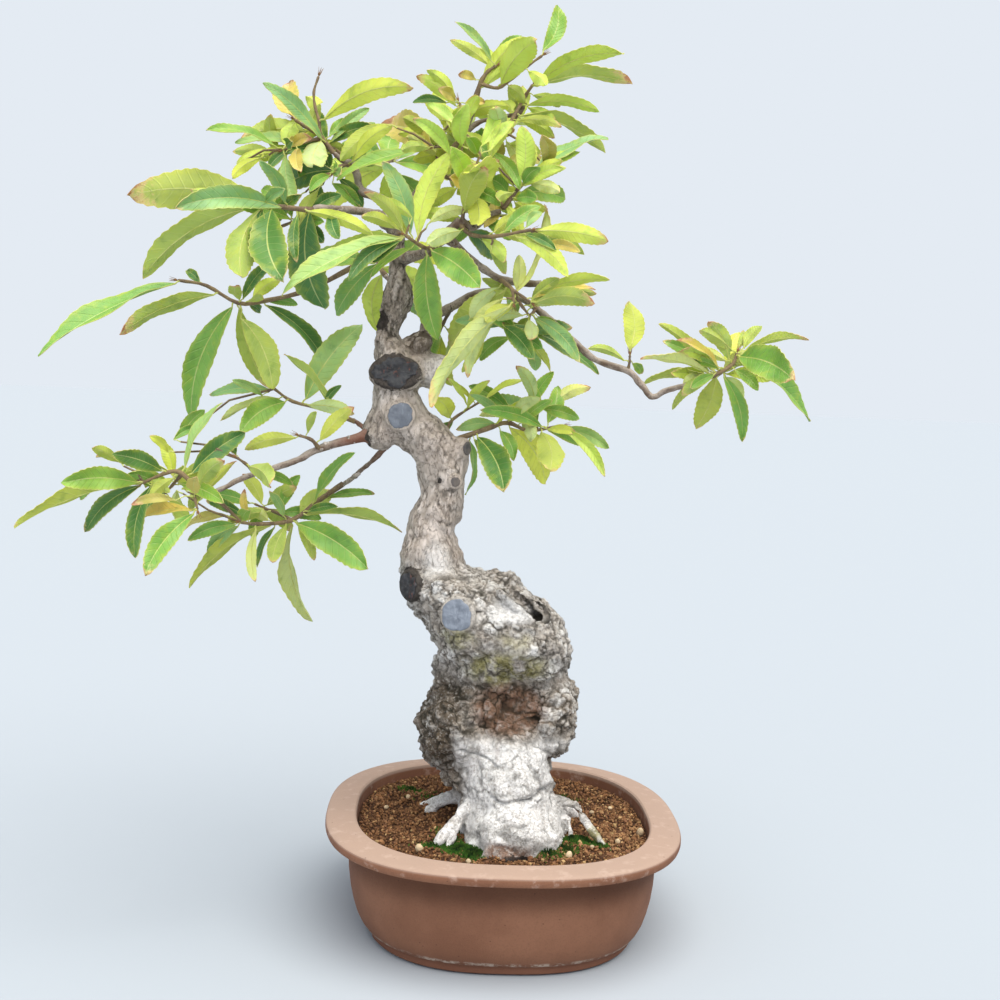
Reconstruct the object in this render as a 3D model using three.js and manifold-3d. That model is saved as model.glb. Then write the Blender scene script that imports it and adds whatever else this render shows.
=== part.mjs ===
// Chestnut-leaved oak bonsai in an unglazed oval training pot.
// Millimetres, +Z up. X runs across the pot's narrow side, Y away from the viewer.
// The origin is the middle of the pot's flat underside.
import * as THREE from "three";
import { mergeVertices } from "three/addons/utils/BufferGeometryUtils.js";
import Module from "manifold-3d";

const wasm = await Module();
wasm.setup();

// Pot
const potHalfWidth = 180;
const potHalfDepth = 210;
const potHeight = 110;
const rimWidth = 31;
const rimSlope = 2.5;
const lipHeight = 10;
const lipOverhang = 24;
const footInset = 44;
const footHeight = 8;
const floorThickness = 12;
const ovalPower = 2.55;
const potSides = 32;
const drainSpacing = 75;
const drainRadius = 11;
const grooveWidth = 14;
const grooveDepth = 4;

// Soil and the meshes under it
const clearance = 0.3;
const meshHalfWidth = 19;
const meshThickness = 1.4;
const meshCell = 10;
const meshPitch = 15;
const soilTop = 97;
const soilCrown = 5;

// Cut faces
const sealThickness = 1.6;
const cutSides = 9;
const stubRim = 2;
const stubFlare = 3;

// Leaves
const bladeThickness = 1.8;
const petioleRadius = 1.1;
const petioleReach = 7;
const petioleBend = 0.35;
const slimness = 0.26;
const youngLeaf = 43.5;
const threeToothLeaf = 78;
const fourToothLeaf = 110;
const heavyLeaf = 115;
const heavyLeafLean = 0.42;
const mostLean = 1.05;
const spiralLean = 0.62;
const spiralStep = 2.4;
const trunkMiddle = -60;
const backlitHeight = 600;
const seatGap = 0.35;
const leafClearance = 0.5;

// The eye that the sizes in the trunk's plane (y = 0) are seen from.
// A point nearer or farther than that plane lies on the line of sight.
const eye = new THREE.Vector3(-81, -1498, 553);

function onSight(x, z, depth) {
  const share = (depth - eye.y) / -eye.y;
  return new THREE.Vector3(x, 0, z).sub(eye).multiplyScalar(share).add(eye);
}

// Solids and geometries

function toSolid(geometry) {
  const plain = geometry.clone();
  plain.deleteAttribute("normal");
  plain.deleteAttribute("uv");
  const merged = mergeVertices(plain, 1e-4);
  return new wasm.Manifold(new wasm.Mesh({
    numProp: 3,
    vertProperties: new Float32Array(merged.attributes.position.array),
    triVerts: new Uint32Array(merged.index.array),
  }));
}

function toGeometry(solid) {
  const mesh = solid.getMesh();
  const geometry = new THREE.BufferGeometry();
  geometry.setAttribute("position", new THREE.BufferAttribute(mesh.vertProperties, mesh.numProp));
  geometry.setIndex(new THREE.BufferAttribute(mesh.triVerts, 1));
  geometry.computeVertexNormals();
  return geometry;
}

function join(solids) {
  return solids.reduce((whole, solid) => whole.add(solid));
}

function largest(solid) {
  const pieces = solid.decompose();
  return pieces.reduce((best, piece) => (piece.volume() > best.volume() ? piece : best));
}

// A closed skin over rings of equal length, with a fan at each end.
function loft(rings) {
  const count = rings[0].length;
  const points = rings.flat();
  const faces = [];
  for (let row = 0; row + 1 < rings.length; row += 1) {
    for (let i = 0; i < count; i += 1) {
      const a = row * count + i;
      const b = row * count + ((i + 1) % count);
      faces.push(a, b, b + count, a, b + count, a + count);
    }
  }
  const middle = (ring) => ring.reduce((sum, p) => sum.add(p), new THREE.Vector3()).divideScalar(count);
  const low = points.push(middle(rings[0])) - 1;
  const high = points.push(middle(rings.at(-1))) - 1;
  const last = (rings.length - 1) * count;
  for (let i = 0; i < count; i += 1) {
    const next = (i + 1) % count;
    faces.push(low, next, i, high, last + i, last + next);
  }
  return skin(points, faces);
}

function skin(points, faces) {
  const geometry = new THREE.BufferGeometry();
  geometry.setAttribute("position", new THREE.Float32BufferAttribute(points.flatMap((p) => p.toArray()), 3));
  geometry.setIndex(faces);
  return geometry;
}

// A tapered stem: rings square to the path at every point of it.
function stem(points, radii, sides) {
  const rings = [];
  let across = new THREE.Vector3(0, 1, 0);
  points.forEach((point, i) => {
    const before = points[Math.max(i - 1, 0)];
    const after = points[Math.min(i + 1, points.length - 1)];
    const along = after.clone().sub(before).normalize();
    across = across.clone().addScaledVector(along, -across.dot(along)).normalize();
    const other = along.clone().cross(across);
    const ring = [];
    for (let k = 0; k < sides; k += 1) {
      const turn = (k / sides) * Math.PI * 2;
      ring.push(point.clone()
        .addScaledVector(across, radii[i] * Math.cos(turn))
        .addScaledVector(other, radii[i] * Math.sin(turn)));
    }
    rings.push(ring);
  });
  return toSolid(loft(rings));
}

// A steady draw between 0 and 1 for each whole number.
function draw(seed) {
  const value = Math.sin(seed * 12.9898) * 43758.5453;
  return value - Math.floor(value);
}

// Pot

function ovalRing(halfWidth, z) {
  const halfDepth = halfWidth + potHalfDepth - potHalfWidth;
  const ring = [];
  for (let i = 0; i < potSides; i += 1) {
    const turn = (i / potSides) * Math.PI * 2;
    const c = Math.cos(turn);
    const s = Math.sin(turn);
    const reach = (Math.abs(c) ** ovalPower + Math.abs(s) ** ovalPower) ** (-1 / ovalPower);
    ring.push(new THREE.Vector3(halfWidth * reach * c, halfDepth * reach * s, z));
  }
  return ring;
}

const innerHalf = potHalfWidth - rimWidth;
const bodyHalf = potHalfWidth - lipOverhang;
const footHalf = potHalfWidth - footInset;
const lipTop = potHeight - rimSlope;

// Inside wall, from the floor up to the rim: half width and height.
const insideWall = [
  [footHalf - 6, floorThickness],
  [innerHalf - 4, 60],
  [innerHalf, potHeight],
];

function makePot() {
  const outside = [
    [footHalf, 0],
    [footHalf + 1, footHeight - 1],
    [footHalf + 5, footHeight + 2],
    [footHalf + 15, 32],
    [bodyHalf, 72],
    [bodyHalf, lipTop - lipHeight - 2],
    [potHalfWidth - 1, lipTop - lipHeight],
    [potHalfWidth, lipTop - 2],
    [potHalfWidth - 2, lipTop],
  ];
  const profile = [...outside, ...[...insideWall].reverse()];
  const body = toSolid(loft(profile.map(([half, z]) => ovalRing(half, z))));
  const holes = [-drainSpacing, drainSpacing].flatMap((y) => {
    const hole = new THREE.CylinderGeometry(drainRadius, drainRadius, floorThickness * 4, 12);
    hole.rotateX(Math.PI / 2).translate(0, y, 0);
    const groove = new THREE.BoxGeometry(potHalfWidth * 2, grooveWidth, grooveDepth * 2);
    groove.translate(0, y, 0);
    return [toSolid(hole), toSolid(groove)];
  });
  return body.subtract(join(holes));
}

function makeDrainMesh(y) {
  const height = floorThickness + clearance + meshThickness / 2;
  const plate = new THREE.BoxGeometry(meshHalfWidth * 2, meshHalfWidth * 2, meshThickness);
  const cells = [];
  for (const i of [-0.5, 0.5]) {
    for (const j of [-0.5, 0.5]) {
      const cell = new THREE.BoxGeometry(meshCell, meshCell, meshThickness * 3);
      cells.push(toSolid(cell.translate(i * meshPitch, j * meshPitch, 0)));
    }
  }
  return toSolid(plate).subtract(join(cells)).translate([0, y, height]);
}

// Trunk

// Bark relief: low where the stem is slim, knuckled over the burls.
function bark(p, size) {
  const coarse = Math.sin(p.x / 7 + 1.7 * Math.sin(p.z / 13)) * Math.sin(p.z / 8.5 + p.y / 9);
  const fine = Math.sin(p.x / 3.1 + p.z / 4.7) * Math.sin(p.y / 3.7 - p.z / 5.3);
  return size * (0.7 * coarse + 0.4 * fine);
}

// Sections of the trunk seen from the front: height, left, right, front, back.
const trunkSections = [
  [76, -44, 54, -60, 56],
  [132, -46, 44, -60, 58],
  [146, -66, 42, -60, 62],
  [165, -79, 46, -62, 66],
  [182, -87, 56, -64, 70],
  [200, -87, 67, -64, 72],
  [218, -83, 71, -58, 70],
  [238, -78, 69, -54, 66],
  [256, -76, 60, -56, 62],
  [272, -71, 57, -64, 62],
  [288, -79, 58, -70, 62],
  [304, -90, 56, -72, 60],
  [318, -98, 46, -70, 56],
  [332, -106, 25, -64, 52],
  [346, -112, 4, -56, 48],
  [356, -114, -30, -42, 38],
  [362, -113, -48, -30, 28],
];

// The stem above the burls, which bends to the left as it climbs.
const stemSections = [
  [340, -108, -46, -34, 32],
  [365, -115, -47, -35, 35],
  [394, -108, -60, -29, 29],
  [412, -105, -52, -27, 28],
  [440, -96, -51, -26, 27],
  [462, -101, -50, -27, 28],
  [480, -120, -50, -28, 28],
  [503, -152, -71, -28, 27],
  [522, -147, -95, -26, 25],
  [550, -145, -103, -24, 22],
  [574, -146, -108, -22, 20],
  [592, -147, -123, -13, 14],
  [612, -142, -116, -13, 13],
  [634, -139, -109, -14, 14],
  [660, -135, -119, -10, 10],
  [694, -138, -121, -9, 10],
  [716, -144, -127, -7, 8],
];

// The pale root base that comes forward below the burls.
const tongueSections = [
  [78, -45, 60, -122, 30],
  [97, -44, 60, -127, 30],
  [113, -43, 57, -124, 30],
  [132, -42, 52, -116, 30],
  [152, -40, 46, -108, 25],
  [172, -37, 42, -98, 20],
  [192, -30, 38, -86, 10],
  [206, -18, 30, -72, 0],
];

function sectionStack(sections, sides, relief, grow) {
  const rings = sections.map(([z, left, right, front, back]) => {
    const ring = [];
    for (let i = 0; i < sides; i += 1) {
      const turn = (i / sides) * Math.PI * 2;
      const p = new THREE.Vector3(
        (left + right) / 2 + ((right - left) / 2) * Math.cos(turn),
        (front + back) / 2 + ((back - front) / 2) * Math.sin(turn),
        z,
      );
      const wide = Math.min((right - left) / 150, 1);
      const push = bark(p, relief * wide) + grow;
      p.x += Math.cos(turn) * push;
      p.y += Math.sin(turn) * push;
      ring.push(p);
    }
    return ring;
  });
  return toSolid(loft(rings));
}

// Rounded lumps: centre, half sizes, lean in the picture's plane, relief.
const burls = [
  { at: [8, -24, 296], half: [61, 54, 41], lean: -0.7, relief: 4 },
  { at: [-14, -14, 346], half: [22, 28, 13], lean: 0.1, relief: 3 },
  { at: [-40, -34, 300], half: [34, 38, 36], lean: 0.6, relief: 3.5 },
  { at: [-48, -22, 200], half: [38, 50, 40], lean: 0.2, relief: 5 },
  { at: [46, -20, 214], half: [26, 46, 46], lean: -0.1, relief: 5 },
  { at: [10, 34, 215], half: [58, 42, 52], lean: 0, relief: 5 },
  { at: [-138, -2, 494], half: [20, 22, 17], lean: 0.2, relief: 1.5 },
  { at: [-64, 2, 478], half: [13, 20, 20], lean: 0.3, relief: 2 },
  { at: [-98, -4, 584], half: [12, 11, 9], lean: 0.6, relief: 2 },
  { at: [-128, 0, 572], half: [19, 17, 15], lean: 0, relief: 2 },
  { at: [-138, 0, 706], half: [11, 12, 11], lean: 0, relief: 1 },
  { at: [8, -120, 98], half: [19, 10, 9], lean: 0, relief: 1.5 },
];

// Hollows: the brown recess under the upper burl and the dark cleft across it.
const hollows = [
  { at: [2, -84, 228], half: [30, 34, 22], lean: 0.1 },
  { at: [8, -52, 335], half: [29, 17, 4.5], lean: -0.68 },
];

// The smooth ridge beside the cleft.
const ridge = { at: [6, -56, 325], half: [33, 14, 8], lean: -0.85, relief: 0 };

function lump({ at, half, lean, relief = 0 }, grow) {
  const columns = Math.max(...half) > 30 ? 11 : 7;
  const rows = columns - 3;
  const shape = new THREE.SphereGeometry(1, columns, rows);
  shape.rotateX(Math.PI / 2);
  const position = shape.attributes.position;
  const p = new THREE.Vector3();
  for (let i = 0; i < position.count; i += 1) {
    p.fromBufferAttribute(position, i);
    const outward = p.clone();
    p.set(p.x * half[0], p.y * half[1], p.z * half[2]);
    p.addScaledVector(outward, bark(p.clone().add(new THREE.Vector3(...at)), relief) + grow);
    position.setXYZ(i, p.x, p.y, p.z);
  }
  shape.rotateY(-lean).translate(...at);
  return toSolid(shape);
}

// Roots that leave the base and run into the soil: x, y, z, radius.
const roots = [
  [[-34, -66, 128, 11], [-46, -78, 120, 8], [-60, -90, 106, 6], [-76, -106, 90, 4]],
  [[42, -50, 132, 12], [60, -54, 128, 8], [74, -64, 118, 7], [104, -86, 92, 5]],
  [[40, -20, 128, 13], [60, -6, 117, 9], [88, 14, 90, 5]],
  [[-36, 10, 124, 14], [-56, 28, 111, 9], [-90, 52, 90, 5]],
  [[14, 36, 122, 16], [24, 66, 108, 10], [42, 108, 88, 5]],
  [[-20, 40, 122, 14], [-30, 66, 106, 9], [-36, 84, 90, 6]],
];

// Limbs as read in the trunk's plane: x, z, depth, radius.
const limbs = {
  lowerLeft: [
    [-145, 491, -4, 12], [-157, 488, -8, 8], [-175, 483, -14, 6.2],
    [-200, 474, -24, 5], [-221, 462, -34, 4.4], [-247, 452, -42, 4],
    [-273, 443, -50, 3.6], [-295, 431, -58, 3.4], [-311, 424, -64, 3.2],
  ],
  lowerInner: [[-130, 482, 12, 4.5], [-142, 468, 24, 3.4], [-163, 448, 36, 3], [-176, 438, 44, 2.8]],
  leftThin: [[-147, 491, 4, 4.5], [-157, 499, 13, 3.2], [-166, 505, 20, 2.8]],
  upperLeft: [
    [-136, 708, -2, 8], [-135, 719, -5, 7.5], [-148, 727, -8, 6.2], [-165, 733, -10, 5.6],
    [-170, 748, -5, 5], [-175, 758, 0, 5.2], [-185, 762, 3, 3.6], [-195, 770, 5, 3.2],
  ],
  leftShoulder: [
    [-140, 706, -4, 8], [-148, 710, -12, 6.5], [-167, 713, -26, 5.4],
    [-203, 714, -40, 4.6], [-212, 712, -43, 5],
  ],
  frontFork: [
    [-128, 668, 0, 9], [-110, 671, -12, 7.4], [-92, 679, -30, 6.6], [-76, 698, -35, 6], [-65, 708, -36, 6],
  ],
  rightShoulder: [
    [-79, 692, -34, 6], [-65, 680, -30, 5.2], [-49, 667, -28, 5], [-26, 653, -28, 4.8], [-4, 649, -30, 4.6],
    [18, 649, -30, 4.4],
  ],
  longRight: [
    [-117, 575, 4, 12], [-98, 593, 9, 8.5], [-94, 608, 10, 7], [-71, 622, 10, 6.2],
    [-47, 636, 8, 5.8], [-20, 639, 6, 5.2], [2, 632, 0, 4.8], [25, 616, -14, 4.8], [53, 593, -24, 4.6],
    [77, 575, -33, 4.4], [110, 565, -42, 4.2], [125, 550, -46, 4.2], [136, 540, -50, 4.2],
    [150, 547, -52, 3.8], [174, 554, -56, 3.6], [184, 557, -58, 3.4],
  ],
  crown: [
    [-132, 708, 3, 6.5], [-126, 714, 5, 5.6], [-112, 731, 10, 5], [-88, 762, 12, 4.4], [-67, 792, 15, 3.8],
    [-57, 817, 18, 3.4], [-55, 830, 18, 3],
  ],
  crownRight: [
    [-67, 792, 15, 3.6], [-50, 806, 24, 3], [-30, 811, 34, 2.9],
    [-11, 816, 44, 2.8], [-7, 826, 48, 2.8],
  ],
  innerRight: [[-65, 708, -35, 5], [-53, 701, -35, 4], [-36, 715, -32, 3.4], [-26, 719, -30, 3.2]],
  crownBack: [[-126, 712, 4, 7], [-118, 728, 30, 5], [-124, 738, 62, 4], [-132, 748, 90, 3.2]],
  stemBack: [[-128, 622, 4, 8], [-122, 634, 34, 5], [-128, 640, 66, 4], [-138, 650, 92, 3.2]],
};

// Cut faces sealed with paste: centre, the way the face looks, radius, depth of the cut stub.
// A cut that is wider than it is high has its width over its height as well.
const paste = { grey: 0x70747f, dark: 0x3b3b3c, aged: 0x55565c };
const cuts = [
  { name: "lower_front", at: [-55, -71, 321], face: [-0.3, -0.95, 0.1], radius: 15, stub: 16, tone: "grey" },
  { name: "left_edge", at: [-104, -33, 343], face: [-0.72, -0.69, 0], radius: 13.5, stub: 14, tone: "dark" },
  {
    name: "stem_foot", at: [-125, -27, 555], face: [-0.1, -0.97, 0.2], radius: 14, stub: 15, tone: "dark",
    wide: 1.5,
  },
  { name: "stem_mid", at: [-118, -30, 512], face: [0, -1, 0.1], radius: 12, stub: 12, tone: "grey" },
  { name: "right_edge", at: [-51, -13, 481], face: [0.85, -0.5, 0], radius: 7, stub: 14, tone: "grey" },
  { name: "small_front", at: [-61, -28, 448], face: [0.2, -0.98, 0], radius: 4.5, stub: 8, tone: "aged" },
];

// A short round stub whose flat end looks along the cut's face.
function cutStub({ at, face, radius, stub, wide = 1 }, grow) {
  const height = stub + grow;
  const rim = radius + stubRim + grow;
  const shape = new THREE.CylinderGeometry(rim, rim + stubFlare, height, cutSides);
  shape.translate(0, grow - height / 2, 0).scale(wide, 1, 1);
  return toSolid(shape).transform(placeAlong(at, face));
}

// Turns +Y to the way a cut looks and keeps X level.
function placeAlong(at, face) {
  const out = new THREE.Vector3(...face).normalize();
  const level = out.clone().cross(new THREE.Vector3(0, 0, 1)).normalize();
  const turn = new THREE.Matrix4().makeBasis(level, out, level.clone().cross(out));
  return turn.setPosition(...at).toArray();
}

function makeSeal({ at, face, radius, wide = 1 }, room) {
  const profile = [
    [0, clearance],
    [radius, clearance],
    [radius * 0.8, clearance + sealThickness * 0.85],
    [0, clearance + sealThickness],
  ].map(([r, h]) => new THREE.Vector2(r, h));
  const shape = new THREE.LatheGeometry(profile, cutSides).scale(wide, 1, 1);
  return largest(toSolid(shape).transform(placeAlong(at, face)).subtract(room));
}

// The pruned branch end on the right, below the fork.
const prunedEnd = { at: [-76, -2, 554], face: [0.95, -0.2, -0.22], radius: 15, stub: 34 };

function limbSolid(rows, grow) {
  const points = rows.map(([x, z, depth]) => onSight(x, z, depth));
  const sides = rows[0][3] > 6 ? 5 : 4;
  return stem(points, rows.map((row) => row[3] + grow), sides);
}

function makeTrunk(grow) {
  const masses = [
    sectionStack(trunkSections, 16, 5, grow),
    sectionStack(stemSections, 11, 3, grow),
    sectionStack(tongueSections, 12, 2.5, grow),
    ...burls.map((burl) => lump(burl, grow)),
  ];
  const hollow = hollows.map((shape) => lump(shape, -grow));
  const parts = [
    lump(ridge, grow),
    ...roots.map((rows) => stem(
      rows.map(([x, y, z]) => new THREE.Vector3(x, y, z)),
      rows.map((row) => row[3] + grow),
      6,
    )),
    ...Object.values(limbs).map((rows) => limbSolid(rows, grow)),
    ...[...cuts, prunedEnd].map((cut) => cutStub(cut, grow)),
  ];
  return join([join(masses).subtract(join(hollow)), ...parts]);
}

const trunk = makeTrunk(0);
const trunkRoom = makeTrunk(seatGap);

// Soil

function makeSoil() {
  const underside = floorThickness + clearance * 2 + meshThickness;
  const wallHalf = (z) => {
    const above = insideWall.findIndex((row) => row[1] >= z);
    const [lowHalf, lowZ] = insideWall[Math.max(above - 1, 0)];
    const [highHalf, highZ] = insideWall[above];
    return lowHalf + ((highHalf - lowHalf) * (z - lowZ)) / (highZ - lowZ || 1) - clearance * 1.6;
  };
  const heights = [underside, insideWall[1][1], soilTop - 2];
  const rings = heights.map((z) => ovalRing(wallHalf(z), z));
  const grain = (p) => 1.6 * Math.sin(p.x / 9 + p.y / 13) + 1.2 * Math.sin(p.x / 6 - p.y / 8);
  for (const share of [0.95, 0.72, 0.42]) {
    const half = wallHalf(soilTop);
    const ring = ovalRing(half, soilTop).map((p) => {
      p.x *= share;
      p.y *= share;
      p.z += soilCrown * (1 - share) + grain(p) * Math.min(1, (1 - share) * 6);
      return p;
    });
    rings.push(ring);
  }
  return toSolid(loft(rings)).subtract(trunkRoom);
}

// Leaves

// One leaf as a thin blade: two faces that share a toothed margin, and a slim stalk.
// The blade arches along its midrib, folds up along it, twists and waves at the margin.
// With fill it is a thicker copy, which shows whether two leaves are clear of each other.
function leafShape(leaf, fill = 0) {
  const { stalkFoot, base, along, length, width, lift, normal, seed } = leaf;
  const teeth = 2 + (length > threeToothLeaf) + (length > fourToothLeaf);
  const ribSteps = Math.min(teeth, 3);
  const arch = length * (0.05 + 0.06 * draw(seed + 0.3));
  const fold = 0.22 + 0.3 * draw(seed + 0.5);
  const twist = 0.7 * (draw(seed + 0.7) - 0.5);
  const wavePhase = 6.3 * draw(seed + 0.9);

  const frameAt = (u) => {
    const face = normal.clone().applyAxisAngle(along, twist * u);
    const side = along.clone().cross(face);
    const rib = base.clone().addScaledVector(along, length * u)
      .addScaledVector(lift, arch * 4 * u * (1 - u));
    return { face, side, rib };
  };
  const outline = (u) => Math.sin(Math.PI * u ** 0.85) ** 0.72;
  const edgeAt = (u, sign, share) => {
    const { face, side, rib } = frameAt(u);
    const half = Math.max((width / 2) * outline(u) * share, petioleRadius);
    const wave = width * 0.07 * Math.sin(wavePhase + u * 11 + sign);
    return rib.addScaledVector(side, sign * (half * Math.cos(fold) + fill / 2))
      .addScaledVector(face, half * Math.sin(fold) + wave * Math.min(1, u * 5));
  };

  const ribAt = Array.from({ length: ribSteps }, (_, i) => i / ribSteps);
  const edges = [[0, 1]];
  for (let k = 0; k < teeth; k += 1) {
    const u = 0.2 + (0.66 * k) / (teeth - 1);
    edges.push([u, 1], [u + 0.045, 0.76]);
  }

  const points = [];
  const add = (p) => points.push(p) - 1;
  const faces = [];
  const quad = (a, b, c, d) => faces.push(a, b, c, a, c, d);
  const tip = add(frameAt(1).rib.addScaledVector(along, fill / 2));
  const top = [];
  const bottom = [];
  for (const u of ribAt) {
    const { face, rib } = frameAt(u);
    const half = (bladeThickness / 2) * (1 - 0.45 * u) + fill / 2;
    top.push(add(rib.clone().addScaledVector(face, half)));
    bottom.push(add(rib.clone().addScaledVector(face, -half)));
  }
  const left = edges.map(([u, share]) => add(edgeAt(u, -1, share)));
  const right = edges.map(([u, share]) => add(edgeAt(u, 1, share)));

  // The strip between the midrib and one margin, stepped along both together.
  const strip = (rib, edge, flip) => {
    let i = 0;
    let j = 0;
    const push = (a, b, c) => (flip ? faces.push(a, c, b) : faces.push(a, b, c));
    while (i + 1 < rib.length || j + 1 < edge.length) {
      const nextRib = i + 1 < rib.length ? ribAt[i + 1] : 2;
      const nextEdge = j + 1 < edge.length ? edges[j + 1][0] : 2;
      if (nextEdge <= nextRib) {
        push(rib[i], edge[j], edge[j + 1]);
        j += 1;
      } else {
        push(rib[i], edge[j], rib[i + 1]);
        i += 1;
      }
    }
    push(rib[i], edge[j], tip);
  };
  strip(top, right, false);
  strip(top, left, true);
  strip(bottom, right, true);
  strip(bottom, left, false);

  // Stalk from the twig to the foot of the blade.
  const reach = base.clone().sub(stalkFoot).normalize();
  const { side } = frameAt(0);
  const across = side.addScaledVector(reach, -side.dot(reach)).normalize();
  const up = across.clone().cross(reach);
  const thick = petioleRadius + fill / 2;
  const low = stalkFoot.clone().addScaledVector(up, -thick * 0.6);
  const stalkLeft = add(low.clone().addScaledVector(across, -thick));
  const stalkRight = add(low.clone().addScaledVector(across, thick));
  const stalkTop = add(stalkFoot.clone().addScaledVector(up, thick));
  quad(stalkLeft, stalkTop, top[0], left[0]);
  quad(stalkTop, stalkRight, right[0], top[0]);
  quad(stalkRight, stalkLeft, left[0], bottom[0]);
  faces.push(stalkRight, bottom[0], right[0]);
  faces.push(stalkRight, stalkTop, stalkLeft);
  return toSolid(skin(points, faces));
}

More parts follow.
